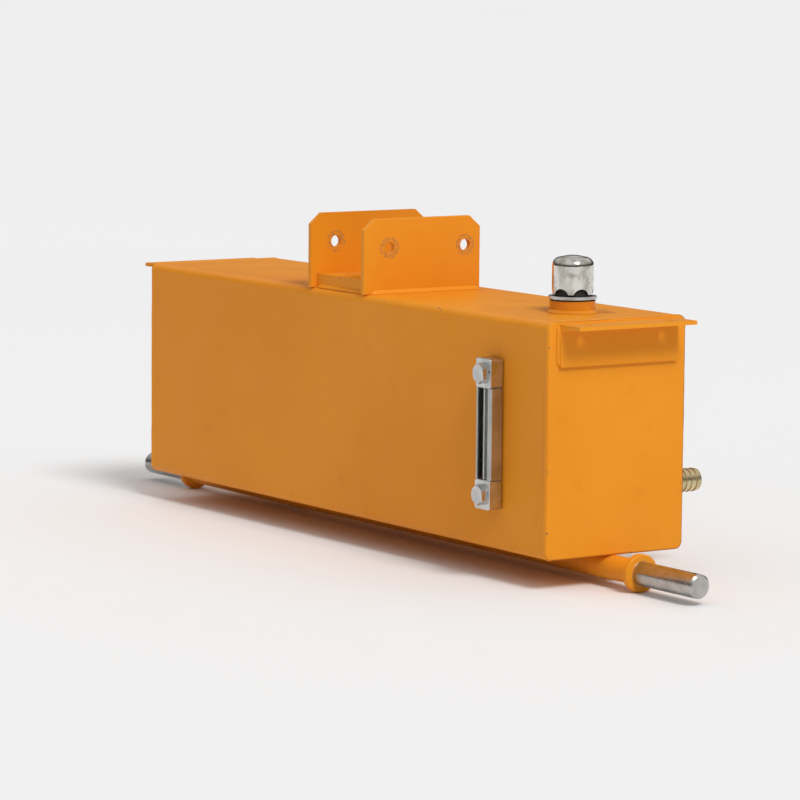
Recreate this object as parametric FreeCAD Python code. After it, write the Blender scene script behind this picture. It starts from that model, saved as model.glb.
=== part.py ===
"""Hydraulic reservoir of a towable log splitter: a welded steel tank on a through axle.

Frame: origin on the tongue seat, midway between the two saddle bolts. +X runs along the tank
towards the filler and level gauge, +Y towards the hitch, +Z up. All sizes are in millimetres.
"""

import FreeCAD, Part
import math
import os

Vector = FreeCAD.Vector
X_AXIS = Vector(1, 0, 0)
Y_AXIS = Vector(0, 1, 0)
Z_AXIS = Vector(0, 0, 1)

# Tank shell
TANK_LENGTH = 800.0
TANK_DEPTH = 176.0
TANK_HEIGHT = 246.0
SHEET = 3.0
EDGE_RADIUS = 8.0
END_PLATE = 4.0
END_EDGE_RADIUS = 2.5

# Baffle, a cross wall inside the tank
BAFFLE_X = 200.0
BAFFLE_GAP = 0.3
BAFFLE_OIL_NOTCH = 40.0
BAFFLE_OIL_NOTCH_HEIGHT = 28.0
BAFFLE_OIL_NOTCH_OUT = 45.0
BAFFLE_AIR_NOTCH = 70.0
BAFFLE_AIR_NOTCH_HEIGHT = 16.0

# Tongue saddle
SEAT_ABOVE_TANK = 15.0
SADDLE_GAP = 101.0
SADDLE_PLATE = 6.0
SADDLE_LENGTH = 153.0
SADDLE_HEIGHT = 82.0
SADDLE_CHAMFER_Y = 14.0
SADDLE_CHAMFER_Z = 12.0
SEAT_PLATE = 5.0
SEAT_SHORT_OF_REAR = 3.0
RISER_WIDTH = 30.0
SADDLE_BOLT_SPACING = 100.0
SADDLE_BOLT_HEIGHT = 35.0
SADDLE_BOLT_HOLE = 13.0

# Axle, a bar that lies against the tank's floor, with its ends turned down for the wheel bearings
AXLE_DIAMETER = 26.0
SPINDLE_DIAMETER = 25.4
AXLE_LENGTH = 1090.0
AXLE_END_CHAMFER = 2.0
COLLAR_DIAMETER = 40.0
COLLAR_WIDTH = 8.0
COLLAR_CHAMFER = 1.0
COLLAR_INNER_X = 440.0
COTTER_HOLE = 5.0
COTTER_INSET = 8.0

# Fender brackets, one on each end plate
BRACKET_REACH = 36.0
BRACKET_DROP = 44.0
BRACKET_THICKNESS = 4.0
BRACKET_LENGTH = 150.0
FENDER_BOLT_SPACING = 104.0
FENDER_BOLT_OUT = 18.0
FENDER_BOLT_HOLE = 9.0

# Filler neck and breather cap
FILLER_X = 320.0
NECK_DIAMETER = 48.0
NECK_BORE = 33.0
NECK_HEIGHT = 13.0
NECK_INSIDE = 5.0
FILLER_GASKET = 1.5
FLANGE_DIAMETER = 51.0
FLANGE_THICKNESS = 3.0
FILLER_SCREW_CIRCLE = 41.3
FILLER_SCREW = 4.0
FILLER_SCREW_HEAD = 8.0
FILLER_SCREW_LENGTH = 11.0
FILLER_SCREW_HOLE_DEPTH = 12.0
SCREW_RECESS_REACH = 2.2
SCREW_RECESS_HALF_WIDTH = 0.5
SCREW_RECESS_DEPTH = 1.2
BASKET_DIAMETER = 30.0
BASKET_LENGTH = 80.0
BASKET_WALL = 1.0
BASKET_RIM_DIAMETER = 36.0
BASKET_RIM = 0.8
BASKET_SLOTS = 8
BASKET_SLOT_WIDTH = 5.0
BASKET_SLOT_HEIGHT = 14.0
BASKET_SLOT_ROWS = 3
BASKET_SLOT_PITCH = 20.0
BAYONET_DIAMETER = 38.0
BAYONET_RISE = 7.0
BAYONET_LIP = 3.0
BAYONET_THROAT = 30.0
BAYONET_UNDERCUT = 35.0
BAYONET_NOTCH_ANGLE = 56.0
LUG_ANGLE = 44.0
LUG_REACH = 34.2
CAP_DIAMETER = 44.0
CAP_HEIGHT = 40.5
CAP_BOTTOM = 19.5
CAP_WALL = 1.0
CAP_CORNER_RADIUS = 9.0
CAP_CROWN = 2.0
CAP_ARCHES = 6
CAP_ARCH_DIAMETER = 18.0
CAP_ARCH_HEIGHT = 6.0
CAP_ARCH_FIRST_ANGLE = 49.0
CAP_GASKET = 2.0
CAP_GASKET_BORE = 31.0
SEAL_PLATE = 1.2
BASE_PLATE = 1.5
AIR_HOLES = 6
AIR_HOLE = 4.0
AIR_HOLE_CIRCLE = 24.0
AIR_NOTCH = 3.0
STEM_DIAMETER = 10.0
LOCK_BAR_HEIGHT = 2.8
LOCK_BAR_LIFT = 0.4
FILTER_BORE = 16.0
FILTER_SIDE_GAP = 1.5
FILTER_HEADROOM = 6.5

# Level gauge
GAUGE_X = 309.0
GAUGE_BOLT_SPACING = 127.0
GAUGE_WIDTH = 27.0
GAUGE_BLOCK_HEIGHT = 31.0
GAUGE_BLOCK_CORNER = 3.0
GAUGE_DEPTH = 15.0
GAUGE_SEAL = 2.0
GAUGE_CHANNEL_WALL = 1.5
GAUGE_CHANNEL_LIP = 4.5
GAUGE_CHANNEL_CORNER = 2.5
GAUGE_SCALE = 0.6
GAUGE_SCALE_WIDTH = 20.0
GAUGE_TUBE_DIAMETER = 11.0
GAUGE_TUBE_BORE = 8.0
GAUGE_TUBE_FROM_BACK = 8.2
GAUGE_TUBE_SOCKET = 4.0
GAUGE_TUBE_SEAL = 1.0
GAUGE_BOLT = 12.0
GAUGE_BOLT_HOLE = 12.4
GAUGE_BOLT_HEX = 19.0
GAUGE_BOLT_HEAD = 6.0
GAUGE_OIL_WAY = 4.0
GAUGE_WASHER = 1.0
GAUGE_WASHER_DIAMETER = 22.0
GAUGE_BOSS_DIAMETER = 25.0
GAUGE_BOSS_DEPTH = 12.0

# Suction and return ports, on the rear face
SUCTION_X = 330.0
SUCTION_ABOVE_FLOOR = 60.0
RETURN_X = 110.0
RETURN_ABOVE_FLOOR = 110.0
BUNG_STANDOUT = 12.0
BUNG_INSIDE = 5.0
PORT_CLEARANCE = 0.05
SUCTION = {"bung": 50.0, "thread": 33.2, "hex": 41.0, "bore": 20.0}
RETURN = {"bung": 42.0, "thread": 26.4, "hex": 32.0, "bore": 15.0}
PORT_HEX_LENGTH = 14.0
HOSE_TAIL_DIAMETER = 25.4
HOSE_TAIL_LAND = 16.0
HOSE_BARBS = 4
HOSE_BARB_PITCH = 7.0
HOSE_BARB_DEPTH = 0.8
HOSE_BARB_CREST = 1.0
RETURN_NOSE_DIAMETER = 27.0
RETURN_NOSE_LENGTH = 20.0
RETURN_CONE_LENGTH = 5.0
SCREEN_DIAMETER = 28.0
SCREEN_WALL = 1.0
SCREEN_LENGTH = 110.0
SCREEN_CAP_LENGTH = 6.0
SCREEN_SLOTS = 8
SCREEN_SLOT_WIDTH = 4.0
SCREEN_SLOT_LENGTH = 24.0
SCREEN_SLOT_ROWS = 3
SCREEN_SLOT_PITCH = 32.0

# Drain
DRAIN_X = -250.0
DRAIN_FROM_CENTRE = 52.0
DRAIN_BUNG_DIAMETER = 38.0
DRAIN_BUNG_STANDOUT = 8.0
DRAIN_THREAD = 22.0
DRAIN_THREAD_LENGTH = 14.0
DRAIN_HEX = 27.0
DRAIN_HEX_LENGTH = 10.0
DRAIN_FLANGE_DIAMETER = 32.0
DRAIN_FLANGE = 3.0
DRAIN_WASHER = 1.5
MAGNET_DIAMETER = 8.0
MAGNET_LENGTH = 7.0
MAGNET_SOCKET = 4.0

# Gaps between pieces that move or slide together, and small broken edges
BREAK_EDGE = 0.6
WELD_CHAMFER = 1.0
BODY_GAP = 0.2
PLATE_GAP = 0.2

# Places that follow from the driving sizes
TANK_TOP = -SEAT_ABOVE_TANK
TANK_FLOOR = TANK_TOP - TANK_HEIGHT
TANK_MIDDLE_Z = TANK_TOP - TANK_HEIGHT / 2
TANK_FRONT = -83.0
TANK_REAR = TANK_FRONT + TANK_DEPTH
TANK_MIDDLE_Y = TANK_FRONT + TANK_DEPTH / 2
TANK_END = TANK_LENGTH / 2
AXLE_Z = TANK_FLOOR - AXLE_DIAMETER / 2
FILLER_CENTRE = Vector(FILLER_X, TANK_MIDDLE_Y, TANK_TOP)
FLANGE_SEAT = NECK_HEIGHT + FILLER_GASKET
FLANGE_TOP = FLANGE_SEAT + FLANGE_THICKNESS
BAYONET_TOP = FLANGE_TOP + BAYONET_RISE
SEAL_BOTTOM = BAYONET_TOP + BODY_GAP
BASE_PLATE_BOTTOM = SEAL_BOTTOM + CAP_GASKET + SEAL_PLATE + BODY_GAP
CAP_TOP = CAP_BOTTOM + CAP_HEIGHT
GAUGE_BOLT_ZS = [TANK_MIDDLE_Z + side * GAUGE_BOLT_SPACING / 2 for side in (-1, 1)]
GAUGE_BACK = TANK_FRONT - GAUGE_SEAL
GAUGE_FACE = GAUGE_BACK - GAUGE_DEPTH
DRAIN_CENTRE = Vector(DRAIN_X, TANK_MIDDLE_Y + DRAIN_FROM_CENTRE, TANK_FLOOR)


# ---------------------------------------------------------------- shape helpers

def box(x_range, y_range, z_range):
    low = Vector(x_range[0], y_range[0], z_range[0])
    size = (x_range[1] - x_range[0], y_range[1] - y_range[0], z_range[1] - z_range[0])
    return Part.makeBox(*size, low)


def cylinder(diameter, start, length, direction):
    return Part.makeCylinder(diameter / 2, length, start, direction)


def ring(outer, inner, start, length, direction):
    return cylinder(outer, start, length, direction).cut(cylinder(inner, start, length, direction))


def prism(points, direction):
    """A closed outline of points, pushed along direction."""
    wire = Part.makePolygon([*points, points[0]])
    return Part.Face(wire).extrude(direction)


def hexagon(across_flats, start, length, direction):
    """A hexagonal bar whose corners are turned off on its free end, as on a bolt head."""
    radius = across_flats / math.sqrt(3)
    side = X_AXIS if abs(direction.z) > 0.5 else Z_AXIS
    other = direction.cross(side)
    points = []
    for turn in range(6):
        angle = math.radians(60 * turn)
        points.append(start + side * (radius * math.cos(angle)) + other * (radius * math.sin(angle)))
    bar = prism(points, direction * length)
    slope = radius - across_flats / 2
    blank = cylinder(2 * radius, start, length, direction)
    blank = blank.makeChamfer(slope * 0.6, slope, end_edges(blank, start + direction * length))
    return bar.common(blank)


def end_edges(shape, point, wider_than=0.0):
    """The round edges whose circle is centred on point and has a diameter over wider_than."""
    found = []
    for edge in shape.Edges:
        if not hasattr(edge.Curve, "Center"):
            continue
        if edge.Curve.Center.distanceToPoint(point) < 1e-6 and 2 * edge.Curve.Radius > wider_than:
            found.append(edge)
    return found


def straight_edges(shape, axis):
    """The straight edges that run along axis."""
    found = []
    for edge in shape.Edges:
        if not isinstance(edge.Curve, Part.Line):
            continue
        if abs(edge.tangentAt(edge.FirstParameter).dot(axis)) > 0.999:
            found.append(edge)
    return found


def edges_on(shape, axis, position):
    """The edges that lie wholly in the plane at position along axis."""
    found = []
    for edge in shape.Edges:
        points = [vertex.Point for vertex in edge.Vertexes] + [edge.CenterOfMass]
        if all(abs(point.dot(axis) - position) < 1e-6 for point in points):
            found.append(edge)
    return found


def rounded_bar(x_range, y_range, z_range, radius):
    bar = box(x_range, y_range, z_range)
    return bar.makeFillet(radius, straight_edges(bar, X_AXIS))


def tank_section(x_range, inset):
    """The tank's rounded cross-section over x_range, brought in by inset all round."""
    y_range = (TANK_FRONT + inset, TANK_REAR - inset)
    z_range = (TANK_FLOOR + inset, TANK_TOP - inset)
    return rounded_bar(x_range, y_range, z_range, EDGE_RADIUS - inset)


def turned(profile, centre):
    """A solid of revolution about the vertical through centre, from a closed wire in the XZ plane."""
    face = Part.Face(profile)
    solid = face.revolve(Vector(0, 0, 0), Z_AXIS, 360)
    solid.translate(centre)
    return solid


def outline(points):
    """A closed wire in the XZ plane from (radius, height) points."""
    corners = [Vector(radius, 0, height) for radius, height in points]
    return Part.makePolygon([*corners, corners[0]])


# ---------------------------------------------------------------- tank weldment

def tank_shell():
    """The four folded and welded sheets between the end plates, with every hole through them."""
    shell = tank_section((-TANK_END + END_PLATE, TANK_END - END_PLATE), 0)
    shell = shell.cut(tank_section((-TANK_END, TANK_END), SHEET))
    neck_start = FILLER_CENTRE - Z_AXIS * EDGE_RADIUS
    holes = [cylinder(NECK_DIAMETER, neck_start, 2 * EDGE_RADIUS, Z_AXIS)]
    for height in GAUGE_BOLT_ZS:
        start = Vector(GAUGE_X, TANK_FRONT - 1, height)
        holes.append(cylinder(GAUGE_BOLT + 0.5, start, SHEET + 2, Y_AXIS))
    for x, above_floor, port in ports():
        start = Vector(x, TANK_REAR - SHEET - 1, TANK_FLOOR + above_floor)
        holes.append(cylinder(port["bung"], start, SHEET + 2, Y_AXIS))
    drain_start = DRAIN_CENTRE - Z_AXIS
    holes.append(cylinder(DRAIN_BUNG_DIAMETER, drain_start, SHEET + 2, Z_AXIS))
    return shell.cut(holes)


def shell_sheet(y_range, z_range):
    """The part of the shell between two depths and two heights."""
    return tank_shell().common(box((-TANK_END, TANK_END), y_range, z_range))


def tank_top_pan():
    """The top sheet with its two folded edges."""
    return shell_sheet((TANK_FRONT, TANK_REAR), (TANK_TOP - EDGE_RADIUS, TANK_TOP))


def tank_floor_pan():
    """The bottom sheet with its two folded edges."""
    return shell_sheet((TANK_FRONT, TANK_REAR), (TANK_FLOOR, TANK_FLOOR + EDGE_RADIUS))


def tank_front_wall():
    heights = (TANK_FLOOR + EDGE_RADIUS, TANK_TOP - EDGE_RADIUS)
    return shell_sheet((TANK_FRONT, TANK_MIDDLE_Y), heights)


def tank_rear_wall():
    heights = (TANK_FLOOR + EDGE_RADIUS, TANK_TOP - EDGE_RADIUS)
    return shell_sheet((TANK_MIDDLE_Y, TANK_REAR), heights)


def end_plate(side):
    outer = side * TANK_END
    inner = side * (TANK_END - END_PLATE)
    plate = tank_section((min(outer, inner), max(outer, inner)), 0)
    return plate.makeFillet(END_EDGE_RADIUS, edges_on(plate, X_AXIS, outer))


def baffle_plate():
    """A cross wall with low notches that let the oil through and a high one for the air."""
    inset = SHEET + BAFFLE_GAP
    low, high = TANK_FLOOR + inset, TANK_TOP - inset
    plate = box((BAFFLE_X, BAFFLE_X + SHEET), (TANK_FRONT + inset, TANK_REAR - inset), (low, high))
    plate = plate.makeChamfer(EDGE_RADIUS, straight_edges(plate, X_AXIS))
    through = (BAFFLE_X - 1, BAFFLE_X + SHEET + 1)
    cuts = []
    for side in (-1, 1):
        centre = TANK_MIDDLE_Y + side * BAFFLE_OIL_NOTCH_OUT
        y_range = (centre - BAFFLE_OIL_NOTCH / 2, centre + BAFFLE_OIL_NOTCH / 2)
        cuts.append(box(through, y_range, (low - 1, low + BAFFLE_OIL_NOTCH_HEIGHT)))
    y_range = (TANK_MIDDLE_Y - BAFFLE_AIR_NOTCH / 2, TANK_MIDDLE_Y + BAFFLE_AIR_NOTCH / 2)
    cuts.append(box(through, y_range, (high - BAFFLE_AIR_NOTCH_HEIGHT, high + 1)))
    return plate.cut(cuts)


# ---------------------------------------------------------------- tongue saddle

def saddle_side_plate(side):
    inner = side * SADDLE_GAP / 2
    front, rear = TANK_FRONT, TANK_FRONT + SADDLE_LENGTH
    top = TANK_TOP + SADDLE_HEIGHT
    corners = [
        (front, TANK_TOP),
        (rear, TANK_TOP),
        (rear, top - SADDLE_CHAMFER_Z),
        (rear - SADDLE_CHAMFER_Y, top),
        (front + SADDLE_CHAMFER_Y, top),
        (front, top - SADDLE_CHAMFER_Z),
    ]
    plate = prism([Vector(inner, y, z) for y, z in corners], X_AXIS * (side * SADDLE_PLATE))
    plate = plate.makeChamfer(BREAK_EDGE, edges_on(plate, X_AXIS, inner + side * SADDLE_PLATE))
    holes = []
    for bolt in (-1, 1):
        start = Vector(inner - side, bolt * SADDLE_BOLT_SPACING / 2, SADDLE_BOLT_HEIGHT)
        holes.append(cylinder(SADDLE_BOLT_HOLE, start, SADDLE_PLATE + 2, X_AXIS * side))
    return plate.cut(holes)


def seat_span():
    half = SADDLE_GAP / 2 - PLATE_GAP
    return (-half, half)


def seat_length():
    return (TANK_FRONT + EDGE_RADIUS, TANK_FRONT + SADDLE_LENGTH - SEAT_SHORT_OF_REAR)


def saddle_seat_plate():
    return box(seat_span(), seat_length(), (-SEAT_PLATE, 0))


def saddle_risers():
    """Two cross bars between the tank top and the seat plate."""
    front, rear = seat_length()
    starts = (front, rear - RISER_WIDTH)
    bars = [box(seat_span(), (y, y + RISER_WIDTH), (TANK_TOP, -SEAT_PLATE)) for y in starts]
    return Part.makeCompound(bars)


# ---------------------------------------------------------------- axle and fender brackets

def axle_bar():
    """The bar with a turned spindle beyond each collar and a cotter hole near each end."""
    shoulder = COLLAR_INNER_X + COLLAR_WIDTH
    middle = Vector(-shoulder, TANK_MIDDLE_Y, AXLE_Z)
    start = Vector(-AXLE_LENGTH / 2, TANK_MIDDLE_Y, AXLE_Z)
    end = Vector(AXLE_LENGTH / 2, TANK_MIDDLE_Y, AXLE_Z)
    spindles = cylinder(SPINDLE_DIAMETER, start, AXLE_LENGTH, X_AXIS)
    spindles = spindles.makeChamfer(AXLE_END_CHAMFER, end_edges(spindles, start) + end_edges(spindles, end))
    bar = spindles.fuse(cylinder(AXLE_DIAMETER, middle, 2 * shoulder, X_AXIS)).removeSplitter()
    holes = []
    for side in (-1, 1):
        x = side * (AXLE_LENGTH / 2 - COTTER_INSET)
        hole_start = Vector(x, TANK_MIDDLE_Y, AXLE_Z - AXLE_DIAMETER)
        holes.append(cylinder(COTTER_HOLE, hole_start, 2 * AXLE_DIAMETER, Z_AXIS))
    return bar.cut(holes)


def hub_stop_collars():
    """The rings that the wheel hubs run up against."""
    rings = []
    for side in (-1, 1):
        start = Vector(side * COLLAR_INNER_X, TANK_MIDDLE_Y, AXLE_Z)
        end = start + X_AXIS * (side * COLLAR_WIDTH)
        collar = ring(COLLAR_DIAMETER, AXLE_DIAMETER, start, COLLAR_WIDTH, X_AXIS * side)
        rims = end_edges(collar, start, AXLE_DIAMETER) + end_edges(collar, end, AXLE_DIAMETER)
        rings.append(collar.makeChamfer(COLLAR_CHAMFER, rims))
    return Part.makeCompound(rings)


def fender_bracket(side):
    """A steel angle on the end plate, its flat leg just under the tank's top edge."""
    x0, top = side * TANK_END, TANK_TOP - END_EDGE_RADIUS
    steps = [
        (0, 0),
        (BRACKET_REACH, 0),
        (BRACKET_REACH, -BRACKET_THICKNESS),
        (BRACKET_THICKNESS, -BRACKET_THICKNESS),
        (BRACKET_THICKNESS, -BRACKET_DROP),
        (0, -BRACKET_DROP),
    ]
    y0 = TANK_MIDDLE_Y - BRACKET_LENGTH / 2
    angle = prism([Vector(x0 + side * out, y0, top + up) for out, up in steps], Y_AXIS * BRACKET_LENGTH)
    root = Vector(x0 + side * BRACKET_THICKNESS, TANK_MIDDLE_Y, top - BRACKET_THICKNESS)
    inner = [e for e in straight_edges(angle, Y_AXIS) if e.CenterOfMass.distanceToPoint(root) < 1e-6]
    angle = angle.makeFillet(BRACKET_THICKNESS, inner)
    holes = []
    for bolt in (-1, 1):
        y = TANK_MIDDLE_Y + bolt * FENDER_BOLT_SPACING / 2
        start = Vector(x0 + side * FENDER_BOLT_OUT, y, top - 2 * BRACKET_THICKNESS)
        holes.append(cylinder(FENDER_BOLT_HOLE, start, 4 * BRACKET_THICKNESS, Z_AXIS))
    return angle.cut(holes)


# ---------------------------------------------------------------- filler neck

def filler_screw_places():
    places = []
    for turn in range(3):
        angle = math.radians(90 + 120 * turn)
        reach = FILLER_SCREW_CIRCLE / 2
        places.append(FILLER_CENTRE + Vector(reach * math.cos(angle), reach * math.sin(angle), 0))
    return places


def with_screw_holes(shape, diameter):
    depth = FILLER_SCREW_HOLE_DEPTH
    for place in filler_screw_places():
        start = place + Z_AXIS * (FLANGE_TOP - depth)
        shape = shape.cut(cylinder(diameter, start, depth + 1, Z_AXIS))
    return shape


def filler_neck():
    start = FILLER_CENTRE - Z_AXIS * NECK_INSIDE
    neck = ring(NECK_DIAMETER, NECK_BORE, start, NECK_INSIDE + NECK_HEIGHT, Z_AXIS)
    top = FILLER_CENTRE + Z_AXIS * NECK_HEIGHT
    neck = neck.makeChamfer(BREAK_EDGE, end_edges(neck, top, NECK_BORE))
    return with_screw_holes(neck, FILLER_SCREW + 0.1)


def filler_gasket():
    start = FILLER_CENTRE + Z_AXIS * NECK_HEIGHT
    gasket = ring(NECK_DIAMETER, NECK_BORE, start, FILLER_GASKET, Z_AXIS)
    return with_screw_holes(gasket, FILLER_SCREW + 0.4)


def filler_strainer():
    """A perforated basket that hangs by its rim under the flange."""
    outer, inner = BASKET_DIAMETER / 2, BASKET_DIAMETER / 2 - BASKET_WALL
    rim = BASKET_RIM_DIAMETER / 2
    bottom = FLANGE_SEAT - BASKET_LENGTH
    profile = outline([
        (0, bottom),
        (outer, bottom),
        (outer, FLANGE_SEAT),
        (rim, FLANGE_SEAT),
        (rim, FLANGE_SEAT + BASKET_RIM),
        (inner, FLANGE_SEAT + BASKET_RIM),
        (inner, bottom + BASKET_WALL),
        (0, bottom + BASKET_WALL),
    ])
    basket = turned(profile, FILLER_CENTRE)
    y_range = (-BASKET_SLOT_WIDTH / 2, BASKET_SLOT_WIDTH / 2)
    cuts = []
    for row in range(BASKET_SLOT_ROWS):
        z = bottom + (row + 0.5) * BASKET_SLOT_PITCH
        for slot in range(BASKET_SLOTS):
            cut = box((inner - 3, outer + 1), y_range, (z, z + BASKET_SLOT_HEIGHT))
            cut.rotate(Vector(0, 0, 0), Z_AXIS, 360 / BASKET_SLOTS * (slot + 0.5 * (row % 2)))
            cut.translate(FILLER_CENTRE)
            cuts.append(cut)
    return basket.cut(cuts)


def filler_flange():
    """The plate that the screws hold down, with the bayonet ring that the cap locks into."""
    seat, top = FLANGE_SEAT, FLANGE_TOP
    lip_bottom = BAYONET_TOP - BAYONET_LIP
    throat, undercut = BAYONET_THROAT / 2, BAYONET_UNDERCUT / 2
    recess = BASKET_RIM_DIAMETER / 2 + PLATE_GAP
    profile = outline([
        (throat, seat + BASKET_RIM),
        (recess, seat + BASKET_RIM),
        (recess, seat),
        (FLANGE_DIAMETER / 2, seat),
        (FLANGE_DIAMETER / 2, top - BREAK_EDGE),
        (FLANGE_DIAMETER / 2 - BREAK_EDGE, top),
        (BAYONET_DIAMETER / 2, top),
        (BAYONET_DIAMETER / 2, BAYONET_TOP - BREAK_EDGE),
        (BAYONET_DIAMETER / 2 - BREAK_EDGE, BAYONET_TOP),
        (throat, BAYONET_TOP),
        (throat, lip_bottom),
        (undercut, lip_bottom),
        (undercut, top),
        (throat, top),
    ])
    flange = turned(profile, FILLER_CENTRE)
    for middle in (0, 180):
        notch = sector(BAYONET_UNDERCUT, middle, BAYONET_NOTCH_ANGLE, lip_bottom - 0.5, BAYONET_LIP + 1)
        flange = flange.cut(notch)
    flange = with_screw_holes(flange, FILLER_SCREW + 0.4)
    return flange.cut([screw_head(place, PLATE_GAP) for place in filler_screw_places()])


def screw_head(place, gap):
    """The cone of a countersunk head, flush with the flange, made wider all round by gap."""
    depth = (FILLER_SCREW_HEAD - FILLER_SCREW) / 2
    start = place + Z_AXIS * (FLANGE_TOP - depth)
    return Part.makeCone(FILLER_SCREW / 2 + gap, FILLER_SCREW_HEAD / 2 + gap, depth, start, Z_AXIS)


def sector(diameter, middle, span, bottom, height):
    """A wedge of a disc on the filler axis, span degrees wide about the direction middle."""
    wedge = Part.makeCylinder(diameter / 2, height, Vector(0, 0, bottom), Z_AXIS, span)
    wedge.rotate(Vector(0, 0, 0), Z_AXIS, middle - span / 2)
    wedge.translate(FILLER_CENTRE)
    return wedge


def filler_screws():
    """Three countersunk screws with a cross recess."""
    long_way = (-SCREW_RECESS_REACH, SCREW_RECESS_REACH)
    short_way = (-SCREW_RECESS_HALF_WIDTH, SCREW_RECESS_HALF_WIDTH)
    z_range = (FLANGE_TOP - SCREW_RECESS_DEPTH, FLANGE_TOP + 1)
    screws = []
    for place in filler_screw_places():
        shank_start = place + Z_AXIS * (FLANGE_TOP - FILLER_SCREW_LENGTH)
        shank = cylinder(FILLER_SCREW, shank_start, FILLER_SCREW_LENGTH, Z_AXIS)
        cross = [box(long_way, short_way, z_range), box(short_way, long_way, z_range)]
        for arm in cross:
            arm.translate(place)
        screws.append(shank.fuse(screw_head(place, 0)).removeSplitter().cut(cross))
    return Part.makeCompound(screws)


# ---------------------------------------------------------------- breather cap

def cap_gasket():
    start = FILLER_CENTRE + Z_AXIS * SEAL_BOTTOM
    return ring(BAYONET_DIAMETER, CAP_GASKET_BORE, start, CAP_GASKET, Z_AXIS)


def air_holes(bottom, circle, diameter):
    """Upright drills on a circle, long enough for either of the cap's thin plates."""
    holes = []
    for hole in range(AIR_HOLES):
        angle = 2 * math.pi * hole / AIR_HOLES
        reach = circle / 2
        start = FILLER_CENTRE + Vector(reach * math.cos(angle), reach * math.sin(angle), bottom - 1)
        holes.append(cylinder(diameter, start, BASE_PLATE + 2, Z_AXIS))
    return holes


def cap_seal_plate():
    """The disc that carries the gasket and stays still while the cap turns on it."""
    bottom = SEAL_BOTTOM + CAP_GASKET
    bore = STEM_DIAMETER + 2 * PORT_CLEARANCE
    plate = ring(BAYONET_DIAMETER + 1, bore, FILLER_CENTRE + Z_AXIS * bottom, SEAL_PLATE, Z_AXIS)
    return plate.cut(air_holes(bottom, AIR_HOLE_CIRCLE, AIR_HOLE))


def cap_lock_bar():
    """The stem and its two lugs, which pass the notches of the bayonet ring and turn in under its lip."""
    bottom = FLANGE_TOP + LOCK_BAR_LIFT
    stem = cylinder(STEM_DIAMETER, FILLER_CENTRE + Z_AXIS * bottom, BASE_PLATE_BOTTOM - bottom, Z_AXIS)
    lugs = [sector(LUG_REACH, middle, LUG_ANGLE, bottom, LOCK_BAR_HEIGHT) for middle in (0, 180)]
    return stem.fuse(lugs).removeSplitter()


def cap_base_plate():
    """The cap's floor: air comes in by the notches in its rim and goes down to the tank by the holes."""
    inside = CAP_DIAMETER - 2 * CAP_WALL
    plate = cylinder(inside, FILLER_CENTRE + Z_AXIS * BASE_PLATE_BOTTOM, BASE_PLATE, Z_AXIS)
    holes = air_holes(BASE_PLATE_BOTTOM, AIR_HOLE_CIRCLE, AIR_HOLE)
    notches = air_holes(BASE_PLATE_BOTTOM, inside, AIR_NOTCH)
    return plate.cut(holes + notches)


def cap_filter_element():
    bottom = BASE_PLATE_BOTTOM + BASE_PLATE
    top = CAP_TOP - CAP_WALL - FILTER_HEADROOM
    outer = CAP_DIAMETER - 2 * CAP_WALL - 2 * FILTER_SIDE_GAP
    return ring(outer, FILTER_BORE, FILLER_CENTRE + Z_AXIS * bottom, top - bottom, Z_AXIS)


def domed_outline(radius, top, bottom, corner):
    """Half the outline of a domed cap: flat bottom, straight side, round corner, spherical crown."""
    flat = radius - corner
    sphere = (flat ** 2 + CAP_CROWN ** 2) / (2 * CAP_CROWN)
    side_top = Vector(radius, 0, top - CAP_CROWN - corner)
    inset = corner * (1 - math.sqrt(0.5))
    corner_middle = Vector(radius - inset, 0, top - CAP_CROWN - inset)
    corner_top = Vector(flat, 0, top - CAP_CROWN)
    crown_middle = Vector(flat / 2, 0, top - sphere + math.sqrt(sphere ** 2 - flat ** 2 / 4))
    crown_top = Vector(0, 0, top)
    bottom_middle, bottom_rim = Vector(0, 0, bottom), Vector(radius, 0, bottom)
    edges = [
        Part.LineSegment(bottom_middle, bottom_rim).toShape(),
        Part.LineSegment(bottom_rim, side_top).toShape(),
        Part.Arc(side_top, corner_middle, corner_top).toShape(),
        Part.Arc(corner_top, crown_middle, crown_top).toShape(),
        Part.LineSegment(crown_top, bottom_middle).toShape(),
    ]
    return Part.Wire(edges)


def cap_shell():
    """A chromed drawn shell with a shallow crown, its bottom edge arched so that air gets in under it."""
    radius, wall = CAP_DIAMETER / 2, CAP_WALL
    outer = turned(domed_outline(radius, CAP_TOP, CAP_BOTTOM, CAP_CORNER_RADIUS), FILLER_CENTRE)
    hollow = domed_outline(radius - wall, CAP_TOP - wall, CAP_BOTTOM - 1, CAP_CORNER_RADIUS - wall)
    shell = outer.cut(turned(hollow, FILLER_CENTRE))
    arch_axis = FILLER_CENTRE + Z_AXIS * (CAP_BOTTOM + CAP_ARCH_HEIGHT - CAP_ARCH_DIAMETER / 2)
    arches = []
    for pair in range(CAP_ARCHES // 2):
        angle = math.radians(CAP_ARCH_FIRST_ANGLE + 360 / CAP_ARCHES * pair)
        along = Vector(math.cos(angle), math.sin(angle), 0)
        start = arch_axis - along * CAP_DIAMETER
        arches.append(cylinder(CAP_ARCH_DIAMETER, start, 2 * CAP_DIAMETER, along))
    return shell.cut(arches)


# ---------------------------------------------------------------- level gauge

def gauge_tube_y():
    return GAUGE_BACK - GAUGE_TUBE_FROM_BACK


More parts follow.
